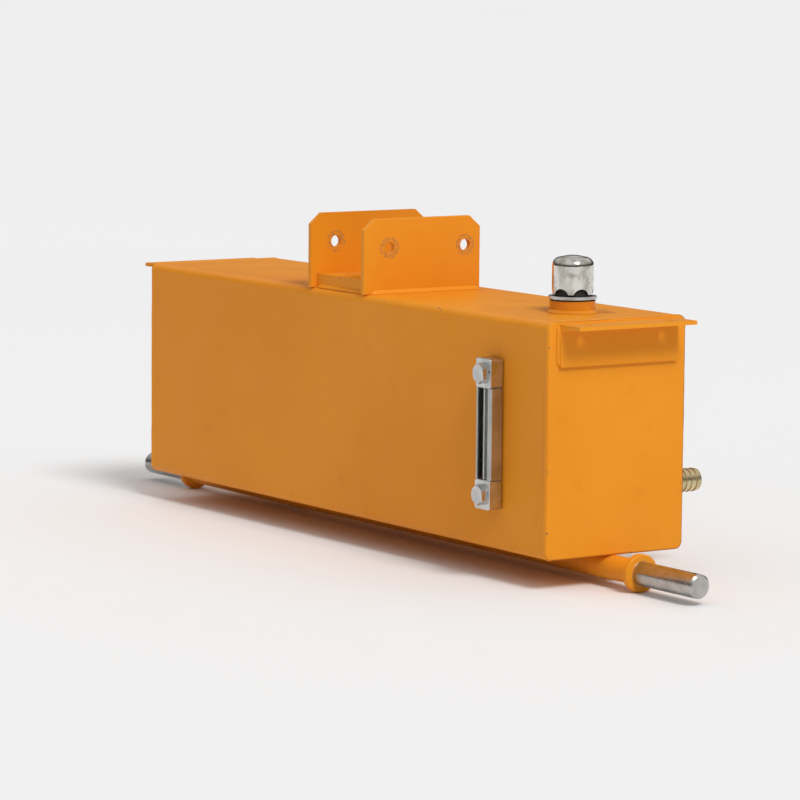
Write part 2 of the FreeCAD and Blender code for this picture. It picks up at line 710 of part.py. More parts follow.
def gauge_block(height):
    """One end of the gauge: a bored block that a hollow bolt holds to the tank and the tube plugs into."""
    half_width, half_height = GAUGE_WIDTH / 2, GAUGE_BLOCK_HEIGHT / 2
    x_range = (GAUGE_X - half_width, GAUGE_X + half_width)
    block = box(x_range, (GAUGE_FACE, GAUGE_BACK), (height - half_height, height + half_height))
    block = block.makeFillet(GAUGE_BLOCK_CORNER, straight_edges(block, Y_AXIS))
    block = block.makeFillet(BREAK_EDGE, edges_on(block, Y_AXIS, GAUGE_FACE))
    bolt_start = Vector(GAUGE_X, GAUGE_FACE - 1, height)
    bolt_hole = cylinder(GAUGE_BOLT_HOLE, bolt_start, GAUGE_DEPTH + 2, Y_AXIS)
    inward = Z_AXIS if height < TANK_MIDDLE_Z else Z_AXIS * -1
    tube_axis = Vector(GAUGE_X, gauge_tube_y(), height)
    socket_start = tube_axis + inward * (half_height - GAUGE_TUBE_SOCKET)
    socket = cylinder(GAUGE_TUBE_DIAMETER + PLATE_GAP, socket_start, GAUGE_TUBE_SOCKET + 1, inward)
    passage = cylinder(GAUGE_OIL_WAY + 1, tube_axis, half_height, inward)
    return block.cut([bolt_hole, socket, passage])


def gauge_end_blocks():
    return Part.makeCompound([gauge_block(height) for height in GAUGE_BOLT_ZS])


def gauge_window_range():
    """The heights between the two end blocks."""
    half = GAUGE_BLOCK_HEIGHT / 2
    return (GAUGE_BOLT_ZS[0] + half, GAUGE_BOLT_ZS[1] - half)


def gauge_channel():
    """The metal guard around the back and sides of the sight tube."""
    low, high = gauge_window_range()
    half = GAUGE_WIDTH / 2
    wall = GAUGE_CHANNEL_WALL
    channel = box((GAUGE_X - half, GAUGE_X + half), (GAUGE_FACE, GAUGE_BACK), (low, high))
    corners = [e for e in straight_edges(channel, Z_AXIS) if abs(e.CenterOfMass.y - GAUGE_FACE) < 1e-6]
    channel = channel.makeFillet(GAUGE_CHANNEL_CORNER, corners)
    inside = (GAUGE_X - half + wall, GAUGE_X + half - wall)
    hollow = box(inside, (GAUGE_FACE + wall, GAUGE_BACK - wall), (low - 1, high + 1))
    window = (GAUGE_X - half + GAUGE_CHANNEL_LIP, GAUGE_X + half - GAUGE_CHANNEL_LIP)
    slot = box(window, (GAUGE_FACE - 1, GAUGE_BACK - wall), (low - 1, high + 1))
    return channel.cut([hollow, slot])


def gauge_scale_plate():
    low, high = gauge_window_range()
    half = GAUGE_SCALE_WIDTH / 2
    back = GAUGE_BACK - GAUGE_CHANNEL_WALL
    y_range = (back - GAUGE_SCALE, back)
    return box((GAUGE_X - half, GAUGE_X + half), y_range, (low + PLATE_GAP, high - PLATE_GAP))


def gauge_sight_tube():
    low, high = gauge_window_range()
    grip = GAUGE_TUBE_SOCKET - GAUGE_TUBE_SEAL
    start = Vector(GAUGE_X, gauge_tube_y(), low - grip)
    return ring(GAUGE_TUBE_DIAMETER, GAUGE_TUBE_BORE, start, high - low + 2 * grip, Z_AXIS)


def gauge_tube_seals():
    """Flat rubber rings between the tube's ends and the bottoms of their sockets."""
    low, high = gauge_window_range()
    rings = []
    for start_z in (low - GAUGE_TUBE_SOCKET, high + GAUGE_TUBE_SOCKET - GAUGE_TUBE_SEAL):
        start = Vector(GAUGE_X, gauge_tube_y(), start_z)
        rings.append(ring(GAUGE_TUBE_DIAMETER, GAUGE_OIL_WAY + 2, start, GAUGE_TUBE_SEAL, Z_AXIS))
    return Part.makeCompound(rings)


def gauge_rings(outer, inner, y, thickness):
    """Two equal rings on the gauge bolts' axes, from y rearwards."""
    rings = [ring(outer, inner, Vector(GAUGE_X, y, height), thickness, Y_AXIS) for height in GAUGE_BOLT_ZS]
    return Part.makeCompound(rings)


def gauge_wall_seals():
    return gauge_rings(GAUGE_WASHER_DIAMETER, GAUGE_BOLT_HOLE, GAUGE_BACK, GAUGE_SEAL)


def gauge_bolt_washers():
    return gauge_rings(GAUGE_WASHER_DIAMETER, GAUGE_BOLT_HOLE, GAUGE_FACE - GAUGE_WASHER, GAUGE_WASHER)


def gauge_bosses():
    """Tapped bosses welded behind the front wall."""
    bore = GAUGE_BOLT + 2 * PORT_CLEARANCE
    return gauge_rings(GAUGE_BOSS_DIAMETER, bore, TANK_FRONT + SHEET, GAUGE_BOSS_DEPTH)


def gauge_bolts():
    """Hollow bolts: oil passes up the drilled shank and out of a cross hole into the gauge."""
    bolts = []
    short_of_boss = 2.0
    shank_length = GAUGE_WASHER + GAUGE_DEPTH + GAUGE_SEAL + SHEET + GAUGE_BOSS_DEPTH - short_of_boss
    for height in GAUGE_BOLT_ZS:
        head_inner = Vector(GAUGE_X, GAUGE_FACE - GAUGE_WASHER, height)
        head = hexagon(GAUGE_BOLT_HEX, head_inner, GAUGE_BOLT_HEAD, Y_AXIS * -1)
        shank = cylinder(GAUGE_BOLT, head_inner, shank_length, Y_AXIS)
        drill = cylinder(GAUGE_OIL_WAY, head_inner + Y_AXIS * GAUGE_OIL_WAY, shank_length, Y_AXIS)
        cross_start = Vector(GAUGE_X, gauge_tube_y(), height - GAUGE_BOLT)
        cross = cylinder(GAUGE_OIL_WAY, cross_start, 2 * GAUGE_BOLT, Z_AXIS)
        bolts.append(head.fuse(shank).removeSplitter().cut([drill, cross]))
    return Part.makeCompound(bolts)


# ---------------------------------------------------------------- ports and drain

def ports():
    return [(SUCTION_X, SUCTION_ABOVE_FLOOR, SUCTION), (RETURN_X, RETURN_ABOVE_FLOOR, RETURN)]


def port_bung(x, above_floor, port):
    """A tapped ring set through the rear wall."""
    start = Vector(x, TANK_REAR - SHEET - BUNG_INSIDE, TANK_FLOOR + above_floor)
    length = BUNG_INSIDE + SHEET + BUNG_STANDOUT
    bung = ring(port["bung"], port["thread"] + 2 * PORT_CLEARANCE, start, length, Y_AXIS)
    mouth = start + Y_AXIS * length
    return bung.makeChamfer(WELD_CHAMFER, end_edges(bung, mouth, port["thread"] + 1))


def port_fitting(x, above_floor, port):
    """The threaded end and the hexagon that both port fittings share, still solid."""
    mouth = Vector(x, TANK_REAR + BUNG_STANDOUT, TANK_FLOOR + above_floor)
    thread_length = BUNG_STANDOUT + SHEET
    thread = cylinder(port["thread"], mouth - Y_AXIS * thread_length, thread_length, Y_AXIS)
    hexagonal = hexagon(port["hex"], mouth, PORT_HEX_LENGTH, Y_AXIS)
    return thread.fuse(hexagonal).removeSplitter(), mouth


def bored(shape, port, mouth):
    """Opens the oil way from end to end with a drill longer than any fitting."""
    reach = 2 * PORT_HEX_LENGTH + SCREEN_LENGTH
    return shape.cut(cylinder(port["bore"], mouth - Y_AXIS * reach, 2 * reach, Y_AXIS))


def hose_tail_outline(radius):
    """(radius, distance) points of a tail with a plain land and then a row of barbs."""
    root = radius - HOSE_BARB_DEPTH
    first = PORT_HEX_LENGTH + HOSE_TAIL_LAND
    points = [(0, 0), (radius, 0), (radius, first)]
    for barb in range(HOSE_BARBS):
        y = first + barb * HOSE_BARB_PITCH
        if barb == 0:
            points.append((root, y))
        points.append((root, y + HOSE_BARB_CREST))
        points.append((radius, y + HOSE_BARB_CREST))
        points.append((radius, y + 2 * HOSE_BARB_CREST))
        points.append((root, y + HOSE_BARB_PITCH))
    points.append((0, first + HOSE_BARBS * HOSE_BARB_PITCH))
    return points


def suction_hose_fitting():
    """A barbed hose tail on a threaded hexagon."""
    body, mouth = port_fitting(SUCTION_X, SUCTION_ABOVE_FLOOR, SUCTION)
    corners = [mouth + Vector(reach, along, 0) for reach, along in hose_tail_outline(HOSE_TAIL_DIAMETER / 2)]
    wire = Part.makePolygon([*corners, corners[0]])
    tail = Part.Face(wire).revolve(mouth, Y_AXIS, 360)
    return bored(body.fuse(tail).removeSplitter(), SUCTION, mouth)


def return_hose_fitting():
    """A male flare adapter: a threaded nose with a coned seat."""
    body, mouth = port_fitting(RETURN_X, RETURN_ABOVE_FLOOR, RETURN)
    start = mouth + Y_AXIS * PORT_HEX_LENGTH
    nose = cylinder(RETURN_NOSE_DIAMETER, start, RETURN_NOSE_LENGTH, Y_AXIS)
    wide, narrow = RETURN_NOSE_DIAMETER / 2 - 1.5, RETURN["bore"] / 2 + 1
    cone_start = start + Y_AXIS * RETURN_NOSE_LENGTH
    cone = Part.makeCone(wide, narrow, RETURN_CONE_LENGTH, cone_start, Y_AXIS)
    return bored(body.fuse([nose, cone]).removeSplitter(), RETURN, mouth)


def suction_screen_start():
    return Vector(SUCTION_X, TANK_REAR - SHEET, TANK_FLOOR + SUCTION_ABOVE_FLOOR)


def suction_screen():
    """The slotted tube around the suction inlet, small enough to pass through the bung."""
    start = suction_screen_start() - Y_AXIS * SCREEN_LENGTH
    inner = SCREEN_DIAMETER - 2 * SCREEN_WALL
    tube = ring(SCREEN_DIAMETER, inner, start, SCREEN_LENGTH, Y_AXIS)
    z_range = (-SCREEN_SLOT_WIDTH / 2, SCREEN_SLOT_WIDTH / 2)
    cuts = []
    for row in range(SCREEN_SLOT_ROWS):
        y = start.y + SCREEN_SLOT_PITCH * (row + 0.5)
        for slot in range(SCREEN_SLOTS):
            cut = box((inner / 2 - 2, SCREEN_DIAMETER / 2 + 1), (y, y + SCREEN_SLOT_LENGTH), z_range)
            cut.rotate(Vector(0, 0, 0), Y_AXIS, 360 / SCREEN_SLOTS * slot)
            cut.translate(Vector(start.x, 0, start.z))
            cuts.append(cut)
    return tube.cut(cuts)


def suction_screen_cap():
    start = suction_screen_start() - Y_AXIS * (SCREEN_LENGTH + SCREEN_CAP_LENGTH)
    cap = cylinder(SCREEN_DIAMETER, start, SCREEN_CAP_LENGTH, Y_AXIS)
    return cap.makeChamfer(WELD_CHAMFER, end_edges(cap, start))


def drain_bung():
    start = DRAIN_CENTRE - Z_AXIS * DRAIN_BUNG_STANDOUT
    length = DRAIN_BUNG_STANDOUT + SHEET
    bung = ring(DRAIN_BUNG_DIAMETER, DRAIN_THREAD + 2 * PORT_CLEARANCE, start, length, Z_AXIS)
    return bung.makeChamfer(WELD_CHAMFER, end_edges(bung, start, DRAIN_THREAD + 1))


def drain_washer():
    top = -DRAIN_BUNG_STANDOUT - BODY_GAP
    start = DRAIN_CENTRE + Z_AXIS * (top - DRAIN_WASHER)
    return ring(DRAIN_FLANGE_DIAMETER - 2, DRAIN_THREAD + 1, start, DRAIN_WASHER, Z_AXIS)


def drain_seat():
    """Where the plug's flange meets the washer."""
    return DRAIN_CENTRE - Z_AXIS * (DRAIN_BUNG_STANDOUT + DRAIN_WASHER + 2 * BODY_GAP)


def drain_plug():
    """A flanged hexagon plug with a socket in its tip for the magnet."""
    seat = drain_seat()
    thread = cylinder(DRAIN_THREAD, seat, DRAIN_THREAD_LENGTH, Z_AXIS)
    flange = cylinder(DRAIN_FLANGE_DIAMETER, seat - Z_AXIS * DRAIN_FLANGE, DRAIN_FLANGE, Z_AXIS)
    head = hexagon(DRAIN_HEX, seat - Z_AXIS * DRAIN_FLANGE, DRAIN_HEX_LENGTH, Z_AXIS * -1)
    tip = seat + Z_AXIS * DRAIN_THREAD_LENGTH
    socket = cylinder(MAGNET_DIAMETER, tip - Z_AXIS * MAGNET_SOCKET, MAGNET_SOCKET + 1, Z_AXIS)
    return thread.fuse([flange, head]).removeSplitter().cut(socket)


def drain_magnet():
    start = drain_seat() + Z_AXIS * (DRAIN_THREAD_LENGTH - MAGNET_SOCKET)
    return cylinder(MAGNET_DIAMETER, start, MAGNET_LENGTH, Z_AXIS)


# ---------------------------------------------------------------- nodes

def nodes():
    return {
        "tank_top_pan": tank_top_pan(),
        "tank_floor_pan": tank_floor_pan(),
        "tank_front_wall": tank_front_wall(),
        "tank_rear_wall": tank_rear_wall(),
        "left_end_plate": end_plate(-1),
        "right_end_plate": end_plate(1),
        "baffle_plate": baffle_plate(),
        "saddle_left_plate": saddle_side_plate(-1),
        "saddle_right_plate": saddle_side_plate(1),
        "saddle_seat_plate": saddle_seat_plate(),
        "saddle_risers": saddle_risers(),
        "axle_bar": axle_bar(),
        "hub_stop_collars": hub_stop_collars(),
        "left_fender_bracket": fender_bracket(-1),
        "right_fender_bracket": fender_bracket(1),
        "filler_neck": filler_neck(),
        "filler_gasket": filler_gasket(),
        "filler_strainer": filler_strainer(),
        "filler_flange": filler_flange(),
        "filler_screws": filler_screws(),
        "cap_gasket": cap_gasket(),
        "cap_seal_plate": cap_seal_plate(),
        "cap_lock_bar": cap_lock_bar(),
        "cap_base_plate": cap_base_plate(),
        "cap_filter_element": cap_filter_element(),
        "cap_shell": cap_shell(),
        "gauge_end_blocks": gauge_end_blocks(),
        "gauge_channel": gauge_channel(),
        "gauge_scale_plate": gauge_scale_plate(),
        "gauge_sight_tube": gauge_sight_tube(),
        "gauge_tube_seals": gauge_tube_seals(),
        "gauge_wall_seals": gauge_wall_seals(),
        "gauge_bolt_washers": gauge_bolt_washers(),
        "gauge_bolts": gauge_bolts(),
        "gauge_bosses": gauge_bosses(),
        "suction_bung": port_bung(*ports()[0]),
        "suction_hose_fitting": suction_hose_fitting(),
        "suction_screen": suction_screen(),
        "suction_screen_cap": suction_screen_cap(),
        "return_bung": port_bung(*ports()[1]),
        "return_hose_fitting": return_hose_fitting(),
        "drain_bung": drain_bung(),
        "drain_washer": drain_washer(),
        "drain_plug": drain_plug(),
        "drain_magnet": drain_magnet(),
    }


os.makedirs("parts", exist_ok=True)
for name, shape in nodes().items():
    for solid in shape.Solids:
        if not solid.isValid() or not solid.isClosed():
            print("bad solid in", name)
    print(f"{name}: {len(shape.Solids)} solid(s), {shape.Volume / 1000:.1f} cm3")
    shape.exportStep(f"parts/{name}.step")
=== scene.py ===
"""Looks of the hydraulic reservoir.

Paint, plating, rubber and glass for the CAD nodes, and as visual pieces the weld beads and two cut threads.
Everything is in metres, in the frame of the CAD model.
"""

import math

import bpy
from mathutils import Matrix, Vector, noise


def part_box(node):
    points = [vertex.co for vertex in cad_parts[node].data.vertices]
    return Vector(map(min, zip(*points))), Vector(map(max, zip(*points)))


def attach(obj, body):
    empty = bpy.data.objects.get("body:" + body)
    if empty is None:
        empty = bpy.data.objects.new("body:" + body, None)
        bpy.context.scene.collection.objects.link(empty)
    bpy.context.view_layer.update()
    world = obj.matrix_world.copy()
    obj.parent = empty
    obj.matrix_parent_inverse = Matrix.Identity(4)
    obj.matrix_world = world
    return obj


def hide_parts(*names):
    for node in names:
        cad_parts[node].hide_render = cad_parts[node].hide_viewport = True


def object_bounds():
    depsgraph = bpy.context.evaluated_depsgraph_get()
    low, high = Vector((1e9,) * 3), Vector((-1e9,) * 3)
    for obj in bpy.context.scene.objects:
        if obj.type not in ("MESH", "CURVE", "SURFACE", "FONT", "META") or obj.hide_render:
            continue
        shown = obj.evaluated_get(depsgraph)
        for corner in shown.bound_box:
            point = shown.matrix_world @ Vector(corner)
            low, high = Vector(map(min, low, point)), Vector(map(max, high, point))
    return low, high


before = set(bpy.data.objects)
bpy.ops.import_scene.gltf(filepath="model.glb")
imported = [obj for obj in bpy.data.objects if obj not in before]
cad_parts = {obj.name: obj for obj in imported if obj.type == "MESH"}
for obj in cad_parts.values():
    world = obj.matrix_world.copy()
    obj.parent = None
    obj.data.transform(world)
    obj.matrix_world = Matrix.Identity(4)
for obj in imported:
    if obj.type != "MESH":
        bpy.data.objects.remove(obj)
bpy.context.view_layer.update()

TANK = "reservoir"
X_AXIS, Y_AXIS, Z_AXIS = Vector((1, 0, 0)), Vector((0, 1, 0)), Vector((0, 0, 1))


def node_box(name):
    low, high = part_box(name)
    return Vector(low), Vector(high)


def node_middle(name):
    low, high = node_box(name)
    return (low + high) / 2


WRAP_LOW, WRAP_HIGH = node_box("tank_floor_pan")[0], node_box("tank_top_pan")[1]
END_LOW, END_HIGH = node_box("left_end_plate")[0], node_box("right_end_plate")[1]
TANK_MIDDLE_Y = (WRAP_LOW.y + WRAP_HIGH.y) / 2
SADDLE_LOW, SADDLE_HIGH = node_box("saddle_left_plate")[0], node_box("saddle_right_plate")[1]
SADDLE_PLATE = 0.006
# Y and Z of the saddle's bolt holes
BOLT_HOLES = [(-0.050, 0.035), (0.050, 0.035)]
FILLER = node_middle("filler_neck")


# ---------------------------------------------------------------- materials

class Look:
    """One procedural material, built node by node on a Principled shader."""

    def __init__(self, name, **uniform):
        self.material = bpy.data.materials.new(name)
        self.material.use_nodes = True
        self.tree = self.material.node_tree
        self.tree.nodes.clear()
        output = self.add("ShaderNodeOutputMaterial")
        self.shader = self.add("ShaderNodeBsdfPrincipled")
        self.tree.links.new(self.shader.outputs["BSDF"], output.inputs["Surface"])
        self.place = self.add("ShaderNodeTexCoord").outputs["Object"]
        for socket, value in uniform.items():
            self.shader.inputs[socket.replace("_", " ")].default_value = value

    def add(self, kind, **settings):
        node = self.tree.nodes.new(kind)
        for key, value in settings.items():
            setattr(node, key, value)
        return node

    def feed(self, socket, value):
        """Sets a socket to a number or colour, or links it to another node's output."""
        if isinstance(value, bpy.types.NodeSocket):
            self.tree.links.new(value, socket)
        elif value is not None:
            socket.default_value = value

    def noise(self, scale, detail=3.0, stretch=(1, 1, 1), shift=(0, 0, 0), rough=0.5):
        mapping = self.add("ShaderNodeMapping")
        self.feed(mapping.inputs["Vector"], self.place)
        mapping.inputs["Scale"].default_value = stretch
        mapping.inputs["Location"].default_value = shift
        node = self.add("ShaderNodeTexNoise")
        self.feed(node.inputs["Vector"], mapping.outputs["Vector"])
        node.inputs["Scale"].default_value = scale
        node.inputs["Detail"].default_value = detail
        node.inputs["Roughness"].default_value = rough
        return node.outputs["Fac"]

    def math(self, operation, a, b=None):
        node = self.add("ShaderNodeMath", operation=operation)
        self.feed(node.inputs[0], a)
        self.feed(node.inputs[1], b)
        return node.outputs["Value"]

    def span(self, value, low, high, to_low=0.0, to_high=1.0):
        """Maps value from low..high to to_low..to_high, smoothly and clamped."""
        node = self.add("ShaderNodeMapRange", interpolation_type="SMOOTHSTEP")
        self.feed(node.inputs["Value"], value)
        node.inputs["From Min"].default_value = low
        node.inputs["From Max"].default_value = high
        node.inputs["To Min"].default_value = to_low
        node.inputs["To Max"].default_value = to_high
        return node.outputs["Result"]

    def blend(self, amount, first, second):
        node = self.add("ShaderNodeMix", data_type="RGBA")
        self.feed(node.inputs[0], amount)
        self.feed(node.inputs[6], first)
        self.feed(node.inputs[7], second)
        return node.outputs[2]

    def axis(self, letter):
        node = self.add("ShaderNodeSeparateXYZ")
        self.feed(node.inputs["Vector"], self.place)
        return node.outputs[letter]

    def bump(self, height, depth, under=None):
        """Relief of the given depth in metres."""
        node = self.add("ShaderNodeBump")
        self.feed(node.inputs["Height"], height)
        node.inputs["Strength"].default_value = 1.0
        node.inputs["Distance"].default_value = depth
        self.feed(node.inputs["Normal"], under)
        return node.outputs["Normal"]

    def finish(self, color=None, roughness=None, metallic=None, normal=None):
        self.feed(self.shader.inputs["Base Color"], color)
        self.feed(self.shader.inputs["Roughness"], roughness)
        self.feed(self.shader.inputs["Metallic"], metallic)
        self.feed(self.shader.inputs["Normal"], normal)
        return self.material


ORANGE = (0.790, 0.272, 0.015, 1)
ORANGE_LIGHT = (0.840, 0.308, 0.019, 1)
ORANGE_DEEP = (0.700, 0.218, 0.011, 1)
DUST = (0.420, 0.200, 0.050, 1)
OILED_ORANGE = (0.36, 0.10, 0.006, 1)
SCUFF = (0.360, 0.170, 0.070, 1)
PRIMER = (0.150, 0.125, 0.110, 1)
STEEL_DARK, STEEL_LIGHT = (0.40, 0.39, 0.37, 1), (0.56, 0.55, 0.53, 1)
CHROME_CLEAN, CHROME_SOILED = (0.72, 0.70, 0.65, 1), (0.40, 0.37, 0.31, 1)
PLATE_DULL, PLATE_BRIGHT = (0.52, 0.52, 0.51, 1), (0.68, 0.68, 0.67, 1)
# Near-black painted shade for the filler flange's ring under the cap's skirt
SKIRT_SHADE_BLACK = (0.022, 0.019, 0.015, 1)
RUBBER_DARK, RUBBER_LIGHT = (0.012, 0.012, 0.012, 1), (0.035, 0.034, 0.032, 1)
FOAM_DARK, FOAM_LIGHT = (0.010, 0.010, 0.010, 1), (0.060, 0.058, 0.055, 1)
COPPER_CLEAN, COPPER_TARNISHED = (0.80, 0.38, 0.22, 1), (0.42, 0.18, 0.10, 1)
GLASS_HAZY, GLASS_CLEAR = (0.80, 0.83, 0.78, 1), (0.93, 0.95, 0.92, 1)
SCALE_DARK, SCALE_LIGHT = (0.030, 0.030, 0.030, 1), (0.065, 0.062, 0.055, 1)
SCALE_MARK = (0.62, 0.61, 0.56, 1)
FLOOR_DARK, FLOOR_LIGHT = (0.86, 0.86, 0.86, 1), (0.88, 0.88, 0.88, 1)

# How far from the tank's edges most chips lie, what an edge adds to the noise, and the noise that chips
EDGE_REACH, EDGE_WEAKNESS, CHIP_FROM, CHIP_FULL = 0.014, 0.085, 0.735, 0.755
# Heights above the tank's floor where dust starts and where it is full
DUST_TOP, DUST_FULL = 0.070, -0.015
# Soft inner and outer edges, as radii, of the washers' marks and of the painted shade under the cap's skirt
WASHER_INSIDE, WASHER_OUTSIDE = (0.0060, 0.0072), (0.0118, 0.0128)
SKIRT_SHADE_INSIDE, SKIRT_SHADE_OUTSIDE = (0.0172, 0.0184), (0.0206, 0.0218)
# Heights above the tank's top between which the tongue's scuffs fade in
SEAT_WEAR_FROM, SEAT_WEAR_FULL = 0.011, 0.013
# Radii of the oil stain where it is full and where it ends, and its strength
STAIN_FULL, STAIN_END, STAIN_STRENGTH = 0.030, 0.048, 0.34
SCALE_PITCH, SCALE_MARK_LENGTH, SCALE_MARK_HALF_SHARE = 0.010, 0.0055, 0.05


def near(look, value, plane, reach):
    """1 at a plane and 0 from reach away."""
    return look.span(look.math("ABSOLUTE", look.math("SUBTRACT", value, plane)), 0, reach, 1, 0)


def radius_from(look, letters, centre):
    """The distance from a line through centre, seen along the axis that letters leaves out."""
    squares = [look.math("POWER", look.math("SUBTRACT", look.axis(letter), middle), 2)
               for letter, middle in zip(letters, centre)]
    return look.math("SQRT", look.math("ADD", *squares))


def soft_ring(look, reach, inside, outside):
    """1 between the two radii, each given as the two ends of its soft edge."""
    return look.math("MULTIPLY", look.span(reach, *inside), look.span(reach, *outside, 1, 0))


def near_either(look, value, planes):
    return look.math("MAXIMUM", *(near(look, value, plane, EDGE_REACH) for plane in planes))


def tank_edges(look):
    """1 along the tank's outer edges, 0 from EDGE_REACH away."""
    ends = near(look, look.math("ABSOLUTE", look.axis("X")), END_HIGH.x, EDGE_REACH)
    sides = near_either(look, look.axis("Y"), (WRAP_LOW.y, WRAP_HIGH.y))
    levels = near_either(look, look.axis("Z"), (WRAP_LOW.z, WRAP_HIGH.z))
    pairs = [look.math("MULTIPLY", *pair) for pair in ((ends, sides), (sides, levels), (ends, levels))]
    return look.math("MAXIMUM", look.math("MAXIMUM", pairs[0], pairs[1]), pairs[2])


def chips(look):
    """Small chips, most of them along the tank's edges."""
    speck = look.noise(240, 4, shift=(6, 1, 8), rough=0.62)
    lifted = look.math("ADD", speck, look.math("MULTIPLY", tank_edges(look), EDGE_WEAKNESS))
    return look.span(lifted, CHIP_FROM, CHIP_FULL)


def washer_marks(look):
    """Rubbed rings around the saddle's bolt holes, where washers bore on the paint."""
    marks = 0.0
    for hole in BOLT_HOLES:
        reach = radius_from(look, "YZ", hole)
        marks = look.math("ADD", soft_ring(look, reach, WASHER_INSIDE, WASHER_OUTSIDE), marks)
    on_saddle = look.math("LESS_THAN", look.math("ABSOLUTE", look.axis("X")), SADDLE_HIGH.x + 0.001)
    worn = look.span(look.noise(320, 4, shift=(3, 3, 9)), 0.38, 0.60)
    return look.math("MULTIPLY", look.math("MULTIPLY", marks, on_saddle), worn)


def tongue_scuffs(look):
    """Scratches along the saddle's seat and inner faces, left by the tongue."""
    inner_face = SADDLE_HIGH.x - SADDLE_PLATE
    inside = look.span(look.math("ABSOLUTE", look.axis("X")), inner_face - 0.0006, inner_face, 1, 0)
    above = look.span(look.axis("Z"), SADDLE_LOW.z + SEAT_WEAR_FROM, SADDLE_LOW.z + SEAT_WEAR_FULL)
    streaks = look.span(look.noise(330, 3, stretch=(1, 0.05, 1), shift=(2, 7, 3)), 0.56, 0.66)
    return look.math("MULTIPLY", look.math("MULTIPLY", inside, above), streaks)


def filler_stain(look):
    """Spilt oil around the neck: a darker, glossier patch with a ragged edge."""
    ragged = look.math("MULTIPLY", look.math("SUBTRACT", look.noise(34, 4, shift=(5, 1, 1)), 0.5), 0.090)
    reach = look.math("ADD", radius_from(look, "XY", FILLER.xy), ragged)
    top_only = look.span(look.axis("Z"), WRAP_HIGH.z - 0.006, WRAP_HIGH.z - 0.001)
    return look.math("MULTIPLY", look.span(reach, STAIN_FULL, STAIN_END, STAIN_STRENGTH, 0), top_only)


def paint_layers(look):
    """The powder coat's colour, roughness and relief, shared by every painted piece."""
    clouds = look.span(look.noise(3.5, 4, shift=(1.3, 0.2, 4.1)), 0.30, 0.70)
    color = look.blend(clouds, ORANGE, ORANGE_LIGHT)
    thin = look.span(look.noise(38, 5, shift=(7, 3, 1)), 0.56, 0.82, 0, 0.30)
    color = look.blend(thin, color, ORANGE_DEEP)
    low_down = look.span(look.axis("Z"), WRAP_LOW.z + DUST_TOP, WRAP_LOW.z + DUST_FULL)
    specks = look.span(look.noise(260, 5, shift=(2, 9, 5), rough=0.65), 0.50, 0.78, 0, 0.30)
    color = look.blend(look.math("MULTIPLY", low_down, specks), color, DUST)
    stain = filler_stain(look)
    color = look.blend(look.math("MULTIPLY", stain, 0.8), color, OILED_ORANGE)
    rubbed = look.math("MAXIMUM", washer_marks(look), tongue_scuffs(look))
    color = look.blend(look.math("MULTIPLY", rubbed, 0.60), color, SCUFF)
    chipped = chips(look)
    color = look.blend(chipped, color, PRIMER)
    roughness = look.span(look.noise(16, 4, shift=(5, 5, 2)), 0.25, 0.75, 0.34, 0.46)
    roughness = look.math("SUBTRACT", roughness, look.math("MULTIPLY", stain, 0.30))
    roughness = look.math("ADD", roughness, look.math("MULTIPLY", chipped, 0.20))
    peel = look.bump(look.noise(420, 2), 0.00006)
    sunk = look.bump(look.math("SUBTRACT", 1.0, chipped), 0.00012, peel)
    normal = look.bump(look.noise(5.5, 2, shift=(3, 8, 2)), 0.0022, sunk)
    return color, roughness, normal


def painted_steel():
    look = Look("powder_coat", Specular_IOR_Level=0.12)
    color, roughness, normal = paint_layers(look)
    return look.finish(color, roughness, 0.0, normal)


def painted_axle():
    """Paint between the hub collars and oiled bright steel on the spindles beyond them."""
    look = Look("axle_paint_and_steel", Specular_IOR_Level=0.12)
    color, roughness, normal = paint_layers(look)
    collar_outer = node_box("hub_stop_collars")[1].x
    away = look.math("ABSOLUTE", look.axis("X"))
    ragged = look.math("MULTIPLY", look.math("SUBTRACT", look.noise(120, 4), 0.5), 0.006)
    bare = look.span(look.math("ADD", away, ragged), collar_outer - 0.0010, collar_outer + 0.0012)
    turning = look.noise(1, 2, stretch=(2600, 12, 12))
    steel = look.blend(look.span(look.noise(45, 5), 0.3, 0.7), STEEL_DARK, STEEL_LIGHT)
    color = look.blend(bare, color, steel)
    shine = look.span(turning, 0.2, 0.8, 0.20, 0.36)
    mixed = look.add("ShaderNodeMix", data_type="FLOAT")
    look.feed(mixed.inputs[0], bare)
    look.feed(mixed.inputs[2], roughness)
    look.feed(mixed.inputs[3], shine)
    rings = look.bump(look.math("MULTIPLY", turning, bare), 0.00003, normal)
    return look.finish(color, mixed.outputs[0], bare, rings)


def plated_steel(name, tint, smooth, rough, brushed=(1, 1, 1)):
    """Plated steel whose roughness wanders from smooth to rough, with a fine grain that brushed stretches."""
    look = Look(name, Metallic=1.0)
    patches = look.span(look.noise(55, 5, shift=(4, 1, 7)), 0.32, 0.70)
    dull = tuple(0.78 * channel for channel in tint[:3]) + (1,)
    color = look.blend(patches, dull, tint)
    grain = look.noise(700, 2, stretch=brushed)
    roughness = look.span(look.noise(85, 4, shift=(9, 2, 3)), 0.25, 0.75, smooth, rough)
    return look.finish(color, roughness, None, look.bump(grain, 0.000008))


def chrome():
    """Thin chromed sheet: mirror-bright where clean, warm and dull under a patchy film of oil and dust."""
    look = Look("chrome", Metallic=1.0)
    film = look.span(look.noise(95, 4, shift=(3, 3, 1), rough=0.6), 0.42, 0.66)
    runs = look.span(look.noise(60, 3, stretch=(1, 1, 0.35), shift=(8, 2, 4)), 0.45, 0.75)
    soiled = look.math("MAXIMUM", look.math("MULTIPLY", film, 0.85), runs)
    color = look.blend(soiled, CHROME_CLEAN, CHROME_SOILED)
    roughness = look.span(soiled, 0, 1, 0.05, 0.22)
    waves = look.bump(look.noise(80, 1, shift=(1, 6, 2)), 0.00032)
    return look.finish(color, roughness, None, look.bump(look.noise(420, 3), 0.000010, waves))


